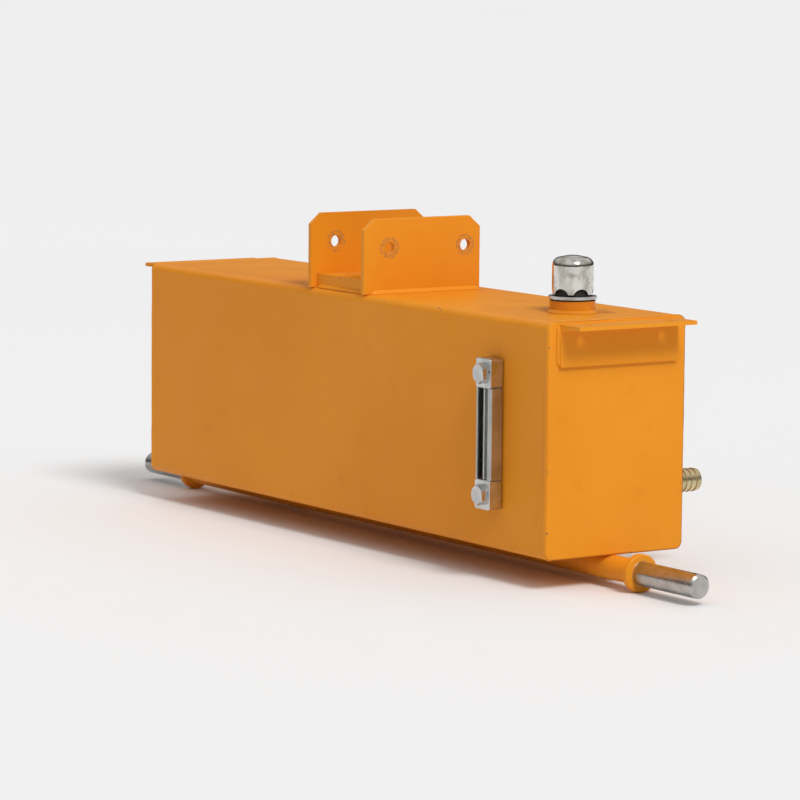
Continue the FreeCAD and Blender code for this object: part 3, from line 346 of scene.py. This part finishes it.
def filler_plate():
    """Plated steel with a near-black ring of painted shade where the cap's skirt shelters it."""
    look = Look("filler_flange_plate")
    ragged = look.math("MULTIPLY", look.math("SUBTRACT", look.noise(260, 4), 0.5), 0.0022)
    reach = look.math("ADD", radius_from(look, "XY", FILLER.xy), ragged)
    # A near-black ring of painted shade under the cap's skirt, also made rough and not metallic
    skirt_shade = soft_ring(look, reach, SKIRT_SHADE_INSIDE, SKIRT_SHADE_OUTSIDE)
    patches = look.span(look.noise(55, 5, shift=(4, 1, 7)), 0.32, 0.70)
    color = look.blend(skirt_shade, look.blend(patches, PLATE_DULL, PLATE_BRIGHT), SKIRT_SHADE_BLACK)
    roughness = look.span(look.math("ADD", skirt_shade, look.noise(85, 4)), 0.3, 1.4, 0.22, 0.75)
    bare = look.math("SUBTRACT", 1.0, skirt_shade)
    return look.finish(color, roughness, bare, look.bump(look.noise(700, 2), 0.00001))


def rubber():
    look = Look("rubber", Specular_IOR_Level=0.35)
    color = look.blend(look.noise(160, 4), RUBBER_DARK, RUBBER_LIGHT)
    roughness = look.span(look.noise(90, 3), 0.3, 0.7, 0.55, 0.75)
    return look.finish(color, roughness, 0.0, look.bump(look.noise(600, 3), 0.00006))


def foam():
    look = Look("filter_foam", Specular_IOR_Level=0.2)
    cells = look.noise(900, 2)
    color = look.blend(look.span(cells, 0.35, 0.65), FOAM_DARK, FOAM_LIGHT)
    return look.finish(color, 0.9, 0.0, look.bump(cells, 0.0004))


def copper():
    look = Look("copper", Metallic=1.0)
    tarnish = look.span(look.noise(140, 5), 0.4, 0.7)
    color = look.blend(tarnish, COPPER_CLEAN, COPPER_TARNISHED)
    roughness = look.span(tarnish, 0, 1, 0.28, 0.5)
    return look.finish(color, roughness, None, look.bump(look.noise(500, 3), 0.00003))


def sight_glass():
    """Clear plastic with faint moulding streaks."""
    look = Look("sight_glass", Transmission_Weight=1.0, IOR=1.49, Coat_Weight=0.5, Coat_Roughness=0.04)
    haze = look.span(look.noise(40, 3, stretch=(1, 1, 0.1)), 0.3, 0.7)
    color = look.blend(haze, GLASS_HAZY, GLASS_CLEAR)
    roughness = look.span(haze, 0, 1, 0.03, 0.10)
    return look.finish(color, roughness, 0.0, look.bump(look.noise(200, 2), 0.00004))


def gauge_scale():
    """A dark backing plate with plain level marks along one edge."""
    look = Look("gauge_scale", Specular_IOR_Level=0.4)
    low, high = node_box("gauge_scale_plate")
    up = look.math("SUBTRACT", look.axis("Z"), low.z)
    step = look.math("FRACT", look.math("DIVIDE", up, SCALE_PITCH))
    from_mark = look.math("ABSOLUTE", look.math("SUBTRACT", step, 0.5))
    mark = look.math("LESS_THAN", from_mark, SCALE_MARK_HALF_SHARE)
    side = look.math("GREATER_THAN", look.axis("X"), high.x - SCALE_MARK_LENGTH)
    print_wear = look.span(look.noise(300, 4), 0.30, 0.52)
    marks = look.math("MULTIPLY", look.math("MULTIPLY", mark, side), print_wear)
    color = look.blend(marks, look.blend(look.noise(70, 4), SCALE_DARK, SCALE_LIGHT), SCALE_MARK)
    roughness = look.span(look.noise(60, 3), 0.3, 0.7, 0.4, 0.6)
    return look.finish(color, roughness, 0.0, look.bump(look.noise(500, 2), 0.00002))


def floor_look():
    look = Look("studio_floor", Specular_IOR_Level=0.2)
    return look.finish(look.blend(look.noise(0.8, 3), FLOOR_DARK, FLOOR_LIGHT), 0.75, 0.0)


LOOKS = {
    "paint": painted_steel(),
    "axle": painted_axle(),
    "chrome": chrome(),
    "flange": filler_plate(),
    "zinc": plated_steel("bright_zinc", tint=(0.66, 0.66, 0.65, 1), smooth=0.20, rough=0.36),
    "guard": plated_steel("gauge_guard_plate", (0.54, 0.54, 0.51, 1), 0.28, 0.40, brushed=(1, 1, 0.05)),
    "yellow_zinc": plated_steel("yellow_zinc", tint=(0.72, 0.62, 0.36, 1), smooth=0.24, rough=0.42),
    "mesh": plated_steel("strainer_steel", tint=(0.52, 0.52, 0.51, 1), smooth=0.32, rough=0.48),
    "rubber": rubber(),
    "foam": foam(),
    "copper": copper(),
    "glass": sight_glass(),
    "scale": gauge_scale(),
}

NODE_LOOKS = {
    "axle": ["axle_bar"],
    "chrome": ["cap_shell"],
    "flange": ["filler_flange", "cap_seal_plate"],
    "zinc": ["filler_screws", "cap_lock_bar", "cap_base_plate",
             "gauge_end_blocks", "gauge_bolts", "gauge_bolt_washers", "drain_magnet"],
    "guard": ["gauge_channel"],
    "yellow_zinc": ["suction_hose_fitting", "return_hose_fitting", "drain_plug"],
    "mesh": ["filler_strainer", "suction_screen", "suction_screen_cap"],
    "rubber": ["filler_gasket", "cap_gasket", "gauge_tube_seals", "gauge_wall_seals"],
    "foam": ["cap_filter_element"],
    "copper": ["drain_washer"],
    "glass": ["gauge_sight_tube"],
    "scale": ["gauge_scale_plate"],
}


def dress_cad_nodes():
    chosen = {node: look for look, names in NODE_LOOKS.items() for node in names}
    for name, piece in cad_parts.items():
        material = LOOKS[chosen.get(name, "paint")]
        piece.data.materials.clear()
        piece.data.materials.append(material)


# ---------------------------------------------------------------- mesh pieces

def make_piece(name, points, faces, look, body=TANK):
    mesh = bpy.data.meshes.new(name)
    mesh.from_pydata([tuple(point) for point in points], [], faces)
    mesh.validate()
    mesh.update()
    for polygon in mesh.polygons:
        polygon.use_smooth = True
    piece = bpy.data.objects.new(name, mesh)
    bpy.context.scene.collection.objects.link(piece)
    mesh.materials.append(LOOKS[look])
    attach(piece, body)
    return piece


def grid_faces(rows, columns, closed_rows, closed_columns):
    """Quads over a grid of points stored row by row."""
    faces = []
    for row in range(rows if closed_rows else rows - 1):
        below = (row + 1) % rows
        for column in range(columns if closed_columns else columns - 1):
            right = (column + 1) % columns
            corners = (row, column), (row, right), (below, right), (below, column)
            faces.append([r * columns + c for r, c in corners])
    return faces


def tube_faces(rings, columns, closed):
    """Quads over a tube of rings that either meets itself or has a flat cap on each end."""
    faces = grid_faces(rings, columns, closed, True)
    if not closed:
        last = (rings - 1) * columns
        faces.append(list(range(columns))[::-1])
        faces.append([last + column for column in range(columns)])
    return faces


# ---------------------------------------------------------------- weld beads

ARC_POINTS = 9
RIPPLE_PITCH = 0.0034
BEAD_STEP = 0.0007
# How deep a bead reaches into its corner, and how far it stops short of a free end
BEAD_ROOT = 0.0006
BEAD_STOP = 0.001
# Leg lengths of the beads, with the stops and spacings that go with them
SADDLE_BEAD, SADDLE_FRONT_STOP = 0.0048, 0.009
RISER_BEAD, RISER_STOP = 0.0035, 0.003
NECK_BEAD, PORT_BEAD, DRAIN_BEAD = 0.0035, 0.0042, 0.0038
STITCH, STITCHES, STITCHED_HALF_LENGTH = 0.055, 6, 0.370
BAR_BEAD, BAR_BEAD_FROM_MIDDLE = 0.0062, 0.0075
COLLAR_BEAD, COLLAR_WIDTH = 0.0036, 0.008
BRACKET_BEAD = 0.0032
SEAM_HALF_WIDTH, SEAM_HEIGHT, SEAM_COLUMNS, SEAM_RIPPLE = 0.0032, 0.00065, 7, 0.0042
SEAM_POINT_STEP = 0.0016
WRAP_RADIUS = 0.008


def bead_section(corner, along_a, along_b, size, travel, seed):
    """Points across one bead: a convex arc between two walls, with the weld's crescent ripples."""
    points = [corner - (along_a + along_b) * BEAD_ROOT]
    for step in range(ARC_POINTS):
        turn = step / (ARC_POINTS - 1)
        angle = turn * math.pi / 2
        bow = (2 * turn - 1) ** 2
        phase = (travel / RIPPLE_PITCH + 0.55 * bow) % 1.0
        wander = noise.noise(Vector((travel * 60, seed, turn)))
        reach = size * (0.80 + 0.22 * bow + 0.07 * phase * (1 - bow * 0.5) + 0.06 * wander)
        points.append(corner + (along_a * math.cos(angle) + along_b * math.sin(angle)) * reach)
    return points


def weld_bead(name, sections, size, closed):
    """A fillet bead along a list of (corner, wall direction, wall direction)."""
    points, travel, previous = [], 0.0, None
    total = sum((b[0] - a[0]).length for a, b in zip(sections, sections[1:]))
    seed = sum(ord(letter) for letter in name) * 0.37
    for corner, along_a, along_b in sections:
        if previous is not None:
            travel += (corner - previous).length
        previous = corner
        taper = 1.0
        if not closed:
            end_distance = min(travel, total - travel)
            taper = 0.25 + 0.75 * math.sqrt(min(1.0, max(0.0, end_distance) / (size * 1.2)))
        points += bead_section(corner, along_a, along_b, size * taper, travel, seed)
    faces = tube_faces(len(sections), ARC_POINTS + 1, closed)
    make_piece(name, points, faces, "paint")


def straight_bead(name, start, end, along_a, along_b, size):
    steps = max(2, round((end - start).length / BEAD_STEP))
    sections = [(start.lerp(end, step / steps), along_a, along_b) for step in range(steps + 1)]
    weld_bead(name, sections, size, closed=False)


def round_bead(name, centre, axis, radius, size):
    """A bead around a tube that stands on a wall, or around a collar on a shaft."""
    side = axis.orthogonal().normalized()
    other = axis.cross(side)
    steps = max(24, round(2 * math.pi * radius / BEAD_STEP))
    sections = []
    for step in range(steps):
        angle = 2 * math.pi * step / steps
        outward = side * math.cos(angle) + other * math.sin(angle)
        sections.append((centre + outward * radius, outward, axis))
    weld_bead(name, sections, size, closed=True)


def saddle_beads():
    for name, side in (("left", -1), ("right", 1)):
        low, high = node_box(f"saddle_{name}_plate")
        outer = high.x if side > 0 else low.x
        start = Vector((outer, low.y + SADDLE_FRONT_STOP, low.z))
        end = Vector((outer, high.y - BEAD_STOP, low.z))
        straight_bead(f"weld_saddle_{name}", start, end, X_AXIS * side, Z_AXIS, SADDLE_BEAD)


def half_width(name):
    low, high = node_box(name)
    return (high.x - low.x) / 2


def round_beads():
    """A ring of weld around the filler neck, each port's bung and the drain's bung."""
    foot = Vector((FILLER.x, FILLER.y, WRAP_HIGH.z))
    round_bead("weld_filler_neck", foot, Z_AXIS, half_width("filler_neck"), NECK_BEAD)
    for name in ("suction_bung", "return_bung"):
        foot = node_middle(name)
        foot.y = WRAP_HIGH.y
        round_bead(f"weld_{name}", foot, Y_AXIS, half_width(name), PORT_BEAD)
    foot = node_middle("drain_bung")
    foot.z = WRAP_LOW.z
    round_bead("weld_drain_bung", foot, Z_AXIS * -1, half_width("drain_bung"), DRAIN_BEAD)


def riser_beads():
    """A bead along the outer foot of each cross bar under the tongue seat."""
    low, high = node_box("saddle_risers")
    for name, y, side in (("front", low.y, -1), ("rear", high.y, 1)):
        start = Vector((low.x + RISER_STOP, y, low.z))
        end = Vector((high.x - RISER_STOP, y, low.z))
        straight_bead(f"weld_riser_{name}", start, end, Y_AXIS * side, Z_AXIS, RISER_BEAD)


def axle_beads():
    """Stitch welds between the bar and the tank's floor, and a ring of weld inside each hub collar."""
    bar_low, bar_high = node_box("axle_bar")
    radius = (bar_high.z - bar_low.z) / 2
    centre_z = bar_high.z - radius
    pitch = (2 * STITCHED_HALF_LENGTH - STITCH) / (STITCHES - 1)
    for side, side_name in ((-1, "front"), (1, "rear")):
        bead_y = TANK_MIDDLE_Y + side * BAR_BEAD_FROM_MIDDLE
        for count in range(STITCHES):
            start = Vector((count * pitch - STITCHED_HALF_LENGTH, bead_y, WRAP_LOW.z))
            end = start + X_AXIS * STITCH
            straight_bead(f"weld_bar_{side_name}_{count}", start, end, Y_AXIS * side, Z_AXIS * -1, BAR_BEAD)
    collars_low, collars_high = node_box("hub_stop_collars")
    for side, side_name in ((-1, "left"), (1, "right")):
        outer = collars_high.x if side > 0 else collars_low.x
        inner = Vector((outer - side * COLLAR_WIDTH, TANK_MIDDLE_Y, centre_z))
        round_bead(f"weld_collar_{side_name}", inner, X_AXIS * -side, radius, COLLAR_BEAD)


def bracket_beads():
    """A bead down each upright edge of the two fender brackets."""
    for name, side in (("left", -1), ("right", 1)):
        low, high = node_box(f"{name}_fender_bracket")
        plate = END_HIGH.x if side > 0 else END_LOW.x
        for edge_name, y, outward in (("front", low.y, -1), ("rear", high.y, 1)):
            start = Vector((plate, y, low.z + BEAD_STOP))
            end = Vector((plate, y, high.z - BEAD_STOP))
            bead = f"weld_bracket_{name}_{edge_name}"
            straight_bead(bead, start, end, Y_AXIS * outward, X_AXIS * side, BRACKET_BEAD)


def seam_outline(radius, steps):
    """Points and outward directions around the tank's rounded section."""
    corners = [
        (WRAP_HIGH.y - radius, WRAP_HIGH.z - radius, 0),
        (WRAP_LOW.y + radius, WRAP_HIGH.z - radius, 90),
        (WRAP_LOW.y + radius, WRAP_LOW.z + radius, 180),
        (WRAP_HIGH.y - radius, WRAP_LOW.z + radius, 270),
    ]
    ring = []
    for y, z, first in corners:
        for step in range(steps + 1):
            angle = math.radians(first + 90 * step / steps)
            outward = Vector((0, math.cos(angle), math.sin(angle)))
            ring.append((Vector((0, y, z)) + outward * radius, outward))
    dense = []
    for (point, outward), (following, next_outward) in zip(ring, ring[1:] + ring[:1]):
        pieces = max(1, round((following - point).length / SEAM_POINT_STEP))
        for piece in range(pieces):
            share = piece / pieces
            dense.append((point.lerp(following, share), outward.lerp(next_outward, share).normalized()))
    return dense


def end_seams():
    """The low butt-weld cap where the wrap meets each end plate, dressed almost flush."""
    ring = seam_outline(WRAP_RADIUS, 8)
    for name, x in (("left", WRAP_LOW.x), ("right", WRAP_HIGH.x)):
        points, travel, previous = [], 0.0, ring[0][0]
        for point, outward in ring:
            travel += (point - previous).length
            previous = point
            for step in range(SEAM_COLUMNS):
                off = 2 * step / (SEAM_COLUMNS - 1) - 1
                phase = (travel / SEAM_RIPPLE + 0.35 * off * off) % 1.0
                lift = SEAM_HEIGHT * (1 - off * off) * (0.72 + 0.28 * phase) - 0.00015 * off * off
                wander = 0.0004 * noise.noise(Vector((travel * 45, x, 0)))
                points.append(point + outward * lift + X_AXIS * (x + off * SEAM_HALF_WIDTH + wander))
        faces = grid_faces(len(ring), SEAM_COLUMNS, True, False)
        make_piece(f"weld_end_seam_{name}", points, faces, "paint")


# ---------------------------------------------------------------- turned pieces with cut threads

AROUND = 96
BROKEN_EDGE = 0.0005
SHARP_CORNER_CUT = 0.0001

# The return port's adapter, from its bore to its nose: radii, except its hexagon, which is across flats.
# AT and START are distances from a face of the hexagon.
ADAPTER_BORE, ADAPTER_SHANK, ADAPTER_NECK = 0.0075, 0.0131, 0.0122
ADAPTER_FACE, ADAPTER_BACK = 0.0152, 0.0150
ADAPTER_HEX, ADAPTER_HEX_LENGTH = 0.032, 0.014
ADAPTER_CORNER_CUT, ADAPTER_CORNER_AT, ADAPTER_FLAT_AT = 0.0012, 0.0009, 0.0015
ADAPTER_THREAD, ADAPTER_PITCH, ADAPTER_THREAD_DEPTH = 0.0135, 0.0021, 0.00115
ADAPTER_THREAD_GAP, ADAPTER_THREAD_LENGTH, ADAPTER_LEAD = 0.0025, 0.0175, 0.0012
ADAPTER_CONE, ADAPTER_CONE_START, ADAPTER_MOUTH_WALL = 0.0116, 0.020, 0.0010

# The drain plug, measured in the same way from the face of its head
PLUG_HEX, PLUG_HEX_LENGTH = 0.027, 0.010
PLUG_CORNER_CUT, PLUG_CORNER_AT, PLUG_FLAT_AT = 0.0014, 0.0010, 0.0018
PLUG_FACE, PLUG_DIMPLE, PLUG_DIMPLE_FLOOR, PLUG_DIMPLE_DEPTH = 0.0126, 0.006, 0.004, 0.0004
PLUG_FLANGE, PLUG_FLANGE_THICKNESS = 0.016, 0.003
PLUG_NECK, PLUG_NECK_LENGTH = 0.0100, 0.0015
PLUG_THREAD, PLUG_PITCH, PLUG_THREAD_DEPTH, PLUG_LEAD = 0.011, 0.0015, 0.0009, 0.0010
PLUG_SOCKET, PLUG_SOCKET_DEPTH = 0.0041, 0.0040


def thread_radius(angle, along, outer, pitch, depth, length, lead):
    """The radius of a helical thread at one angle and one distance along it, run out at both ends."""
    phase = (along / pitch - angle / (2 * math.pi)) % 1.0
    groove = max(0.0, min(1.0, (abs(phase - 0.5) * 2 - 0.12) / 0.76))
    fade = min(1.0, along / pitch)
    chamfer = max(0.0, lead - (length - along))
    return min(outer - depth * groove * fade, outer - chamfer)


def thread_sections(start, outer, pitch, depth, length, lead, steps):
    """Sections of a helical thread that begins at start."""
    sections = []
    for step in range(steps + 1):
        along = length * step / steps

        def radius(angle, along=along):
            return thread_radius(angle, along, outer, pitch, depth, length, lead)
        sections.append((start + along, radius))
    return sections


def turned_piece(name, sections, origin, axis, look, body=TANK, bored=True):
    """A closed surface around an axis. Each section is (distance along, radius or a radius function)."""
    side = axis.orthogonal().normalized()
    other = axis.cross(side)
    points = []
    for along, radius in sections:
        for step in range(AROUND):
            angle = 2 * math.pi * step / AROUND
            reach = radius(angle) if callable(radius) else radius
            outward = side * math.cos(angle) + other * math.sin(angle)
            points.append(origin + axis * along + outward * reach)
    piece = make_piece(name, points, tube_faces(len(sections), AROUND, closed=bored), look, body)
    piece.data.set_sharp_from_angle(angle=math.radians(32))
    return piece


def hexagon_radius(flats, round_off):
    """The radius of a hexagon across its flats, its corners cut by a circle round_off short of them."""
    def radius(angle):
        turn = (angle + math.pi / 6) % (math.pi / 3) - math.pi / 6
        return min(flats / 2 / math.cos(turn), flats / math.sqrt(3) - round_off)
    return radius


def return_fitting():
    """The flare adapter with its nose thread cut, in place of the plain CAD solid."""
    low, high = node_box("return_hose_fitting")
    origin = node_middle("return_hose_fitting")
    origin.y = node_box("return_bung")[1].y
    inner, tip = low.y - origin.y, high.y - origin.y
    corner = hexagon_radius(ADAPTER_HEX, ADAPTER_CORNER_CUT)
    flat = hexagon_radius(ADAPTER_HEX, SHARP_CORNER_CUT)
    hex_end = ADAPTER_HEX_LENGTH
    thread_start = hex_end + ADAPTER_THREAD_GAP
    sections = [
        (inner, ADAPTER_BORE), (inner, ADAPTER_SHANK), (0.0, ADAPTER_SHANK), (0.0, ADAPTER_FACE),
        (ADAPTER_CORNER_AT, corner), (ADAPTER_FLAT_AT, flat),
        (hex_end - ADAPTER_FLAT_AT, flat), (hex_end - ADAPTER_CORNER_AT, corner),
        (hex_end, ADAPTER_BACK), (hex_end, ADAPTER_NECK), (thread_start, ADAPTER_NECK),
    ]
    sections += thread_sections(thread_start, ADAPTER_THREAD, ADAPTER_PITCH, ADAPTER_THREAD_DEPTH,
                                ADAPTER_THREAD_LENGTH, ADAPTER_LEAD, steps=110)
    sections += [
        (hex_end + ADAPTER_CONE_START, ADAPTER_CONE),
        (tip, ADAPTER_BORE + ADAPTER_MOUTH_WALL), (tip, ADAPTER_BORE),
    ]
    piece = turned_piece("return_adapter", sections, origin, Y_AXIS, "yellow_zinc")
    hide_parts("return_hose_fitting")


def drain_screw():
    """The drain plug with its shank thread cut, in place of the plain CAD solid."""
    low, high = node_box("drain_plug")
    origin = node_middle("drain_plug")
    origin.z = low.z
    tip = high.z - low.z
    corner = hexagon_radius(PLUG_HEX, PLUG_CORNER_CUT)
    flat = hexagon_radius(PLUG_HEX, SHARP_CORNER_CUT)
    hex_end = PLUG_HEX_LENGTH
    flange_end = hex_end + PLUG_FLANGE_THICKNESS
    thread_start = flange_end + PLUG_NECK_LENGTH
    sections = [
        (PLUG_DIMPLE_DEPTH, PLUG_DIMPLE_FLOOR), (0.0, PLUG_DIMPLE), (0.0, PLUG_FACE),
        (PLUG_CORNER_AT, corner), (PLUG_FLAT_AT, flat), (hex_end, flat),
        (hex_end, PLUG_FLANGE - BROKEN_EDGE), (hex_end + BROKEN_EDGE, PLUG_FLANGE),
        (flange_end - BROKEN_EDGE, PLUG_FLANGE), (flange_end, PLUG_FLANGE - BROKEN_EDGE),
        (flange_end, PLUG_NECK), (thread_start, PLUG_NECK),
    ]
    sections += thread_sections(thread_start, PLUG_THREAD, PLUG_PITCH, PLUG_THREAD_DEPTH,
                                tip - thread_start, PLUG_LEAD, steps=90)
    sections += [(tip, PLUG_SOCKET), (tip - PLUG_SOCKET_DEPTH, PLUG_SOCKET)]
    piece = turned_piece("drain_plug_cut", sections, origin, Z_AXIS, "yellow_zinc",
                         body="drain_screw", bored=False)
    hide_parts("drain_plug")


# ---------------------------------------------------------------- studio

FLOOR_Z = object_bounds()[0][2]
CAMERA_PLACE = Vector((3.7947, -2.5354, 0.4017))
CAMERA_TARGET = Vector((0.005, 0.0, -0.140))
CAMERA_ROLL = math.radians(0.52)
CAMERA_LENS = 186
FLOOR_HALF_WIDTH = 60
KEY_FROM, KEY_STRENGTH, KEY_ANGLE = (0.655, -0.07, 0.752), 1.78, 20
# Each as the height of a direction and the sky's strength there
HORIZON, HIGH_SKY = (0.14, 0.07), (0.60, 0.70)


def look_matrix(place, target, roll=0.0):
    """The placing of a camera or light that looks from place to target."""
    back = (place - target).normalized()
    right = Z_AXIS.cross(back).normalized()
    up = back.cross(right)
    rolled_right = right * math.cos(roll) + up * math.sin(roll)
    rolled_up = up * math.cos(roll) - right * math.sin(roll)
    turn = Matrix((rolled_right, rolled_up, back)).transposed().to_4x4()
    return Matrix.Translation(place) @ turn


def add_camera():
    data = bpy.data.cameras.new("camera")
    data.lens = CAMERA_LENS
    data.sensor_width = 36
    data.clip_end = 400
    camera = bpy.data.objects.new("camera", data)
    camera.matrix_world = look_matrix(CAMERA_PLACE, CAMERA_TARGET, CAMERA_ROLL)
    bpy.context.scene.collection.objects.link(camera)
    bpy.context.scene.camera = camera


def add_sun(name, direction, strength, angle):
    """A distant soft light that shines from the given direction and lights the whole floor evenly."""
    data = bpy.data.lights.new(name, "SUN")
    data.energy = strength
    data.angle = math.radians(angle)
    light = bpy.data.objects.new(name, data)
    light.matrix_world = look_matrix(Vector(direction) * 5, Vector((0, 0, 0)))
    bpy.context.scene.collection.objects.link(light)


def add_floor():
    half = FLOOR_HALF_WIDTH
    corners = [(x, y, FLOOR_Z) for x, y in ((-half, -half), (half, -half), (half, half), (-half, half))]
    mesh = bpy.data.meshes.new("floor")
    mesh.from_pydata(corners, [], [(0, 1, 2, 3)])
    mesh.materials.append(floor_look())
    floor = bpy.data.objects.new("floor", mesh)
    bpy.context.scene.collection.objects.link(floor)


def add_world():
    """An even white sky that dims towards the horizon, so that the plated parts have something to reflect."""
    world = bpy.data.worlds.new("studio")
    world.use_nodes = True
    tree = world.node_tree
    place = tree.nodes.new("ShaderNodeTexCoord").outputs["Generated"]
    split = tree.nodes.new("ShaderNodeSeparateXYZ")
    tree.links.new(place, split.inputs["Vector"])
    ramp = tree.nodes.new("ShaderNodeMapRange")
    ramp.interpolation_type = "SMOOTHSTEP"
    tree.links.new(split.outputs["Z"], ramp.inputs["Value"])
    ramp.inputs["From Min"].default_value, ramp.inputs["To Min"].default_value = HORIZON
    ramp.inputs["From Max"].default_value, ramp.inputs["To Max"].default_value = HIGH_SKY
    background = tree.nodes["Background"]
    background.inputs["Color"].default_value = (1, 1, 1, 1)
    tree.links.new(ramp.outputs["Result"], background.inputs["Strength"])
    bpy.context.scene.world = world
    bpy.context.scene.view_settings.view_transform = "Standard"


def studio():
    add_camera()
    add_floor()
    add_world()
    add_sun("key", KEY_FROM, KEY_STRENGTH, KEY_ANGLE)


dress_cad_nodes()
saddle_beads()
riser_beads()
round_beads()
axle_beads()
bracket_beads()
end_seams()
return_fitting()
drain_screw()
studio()
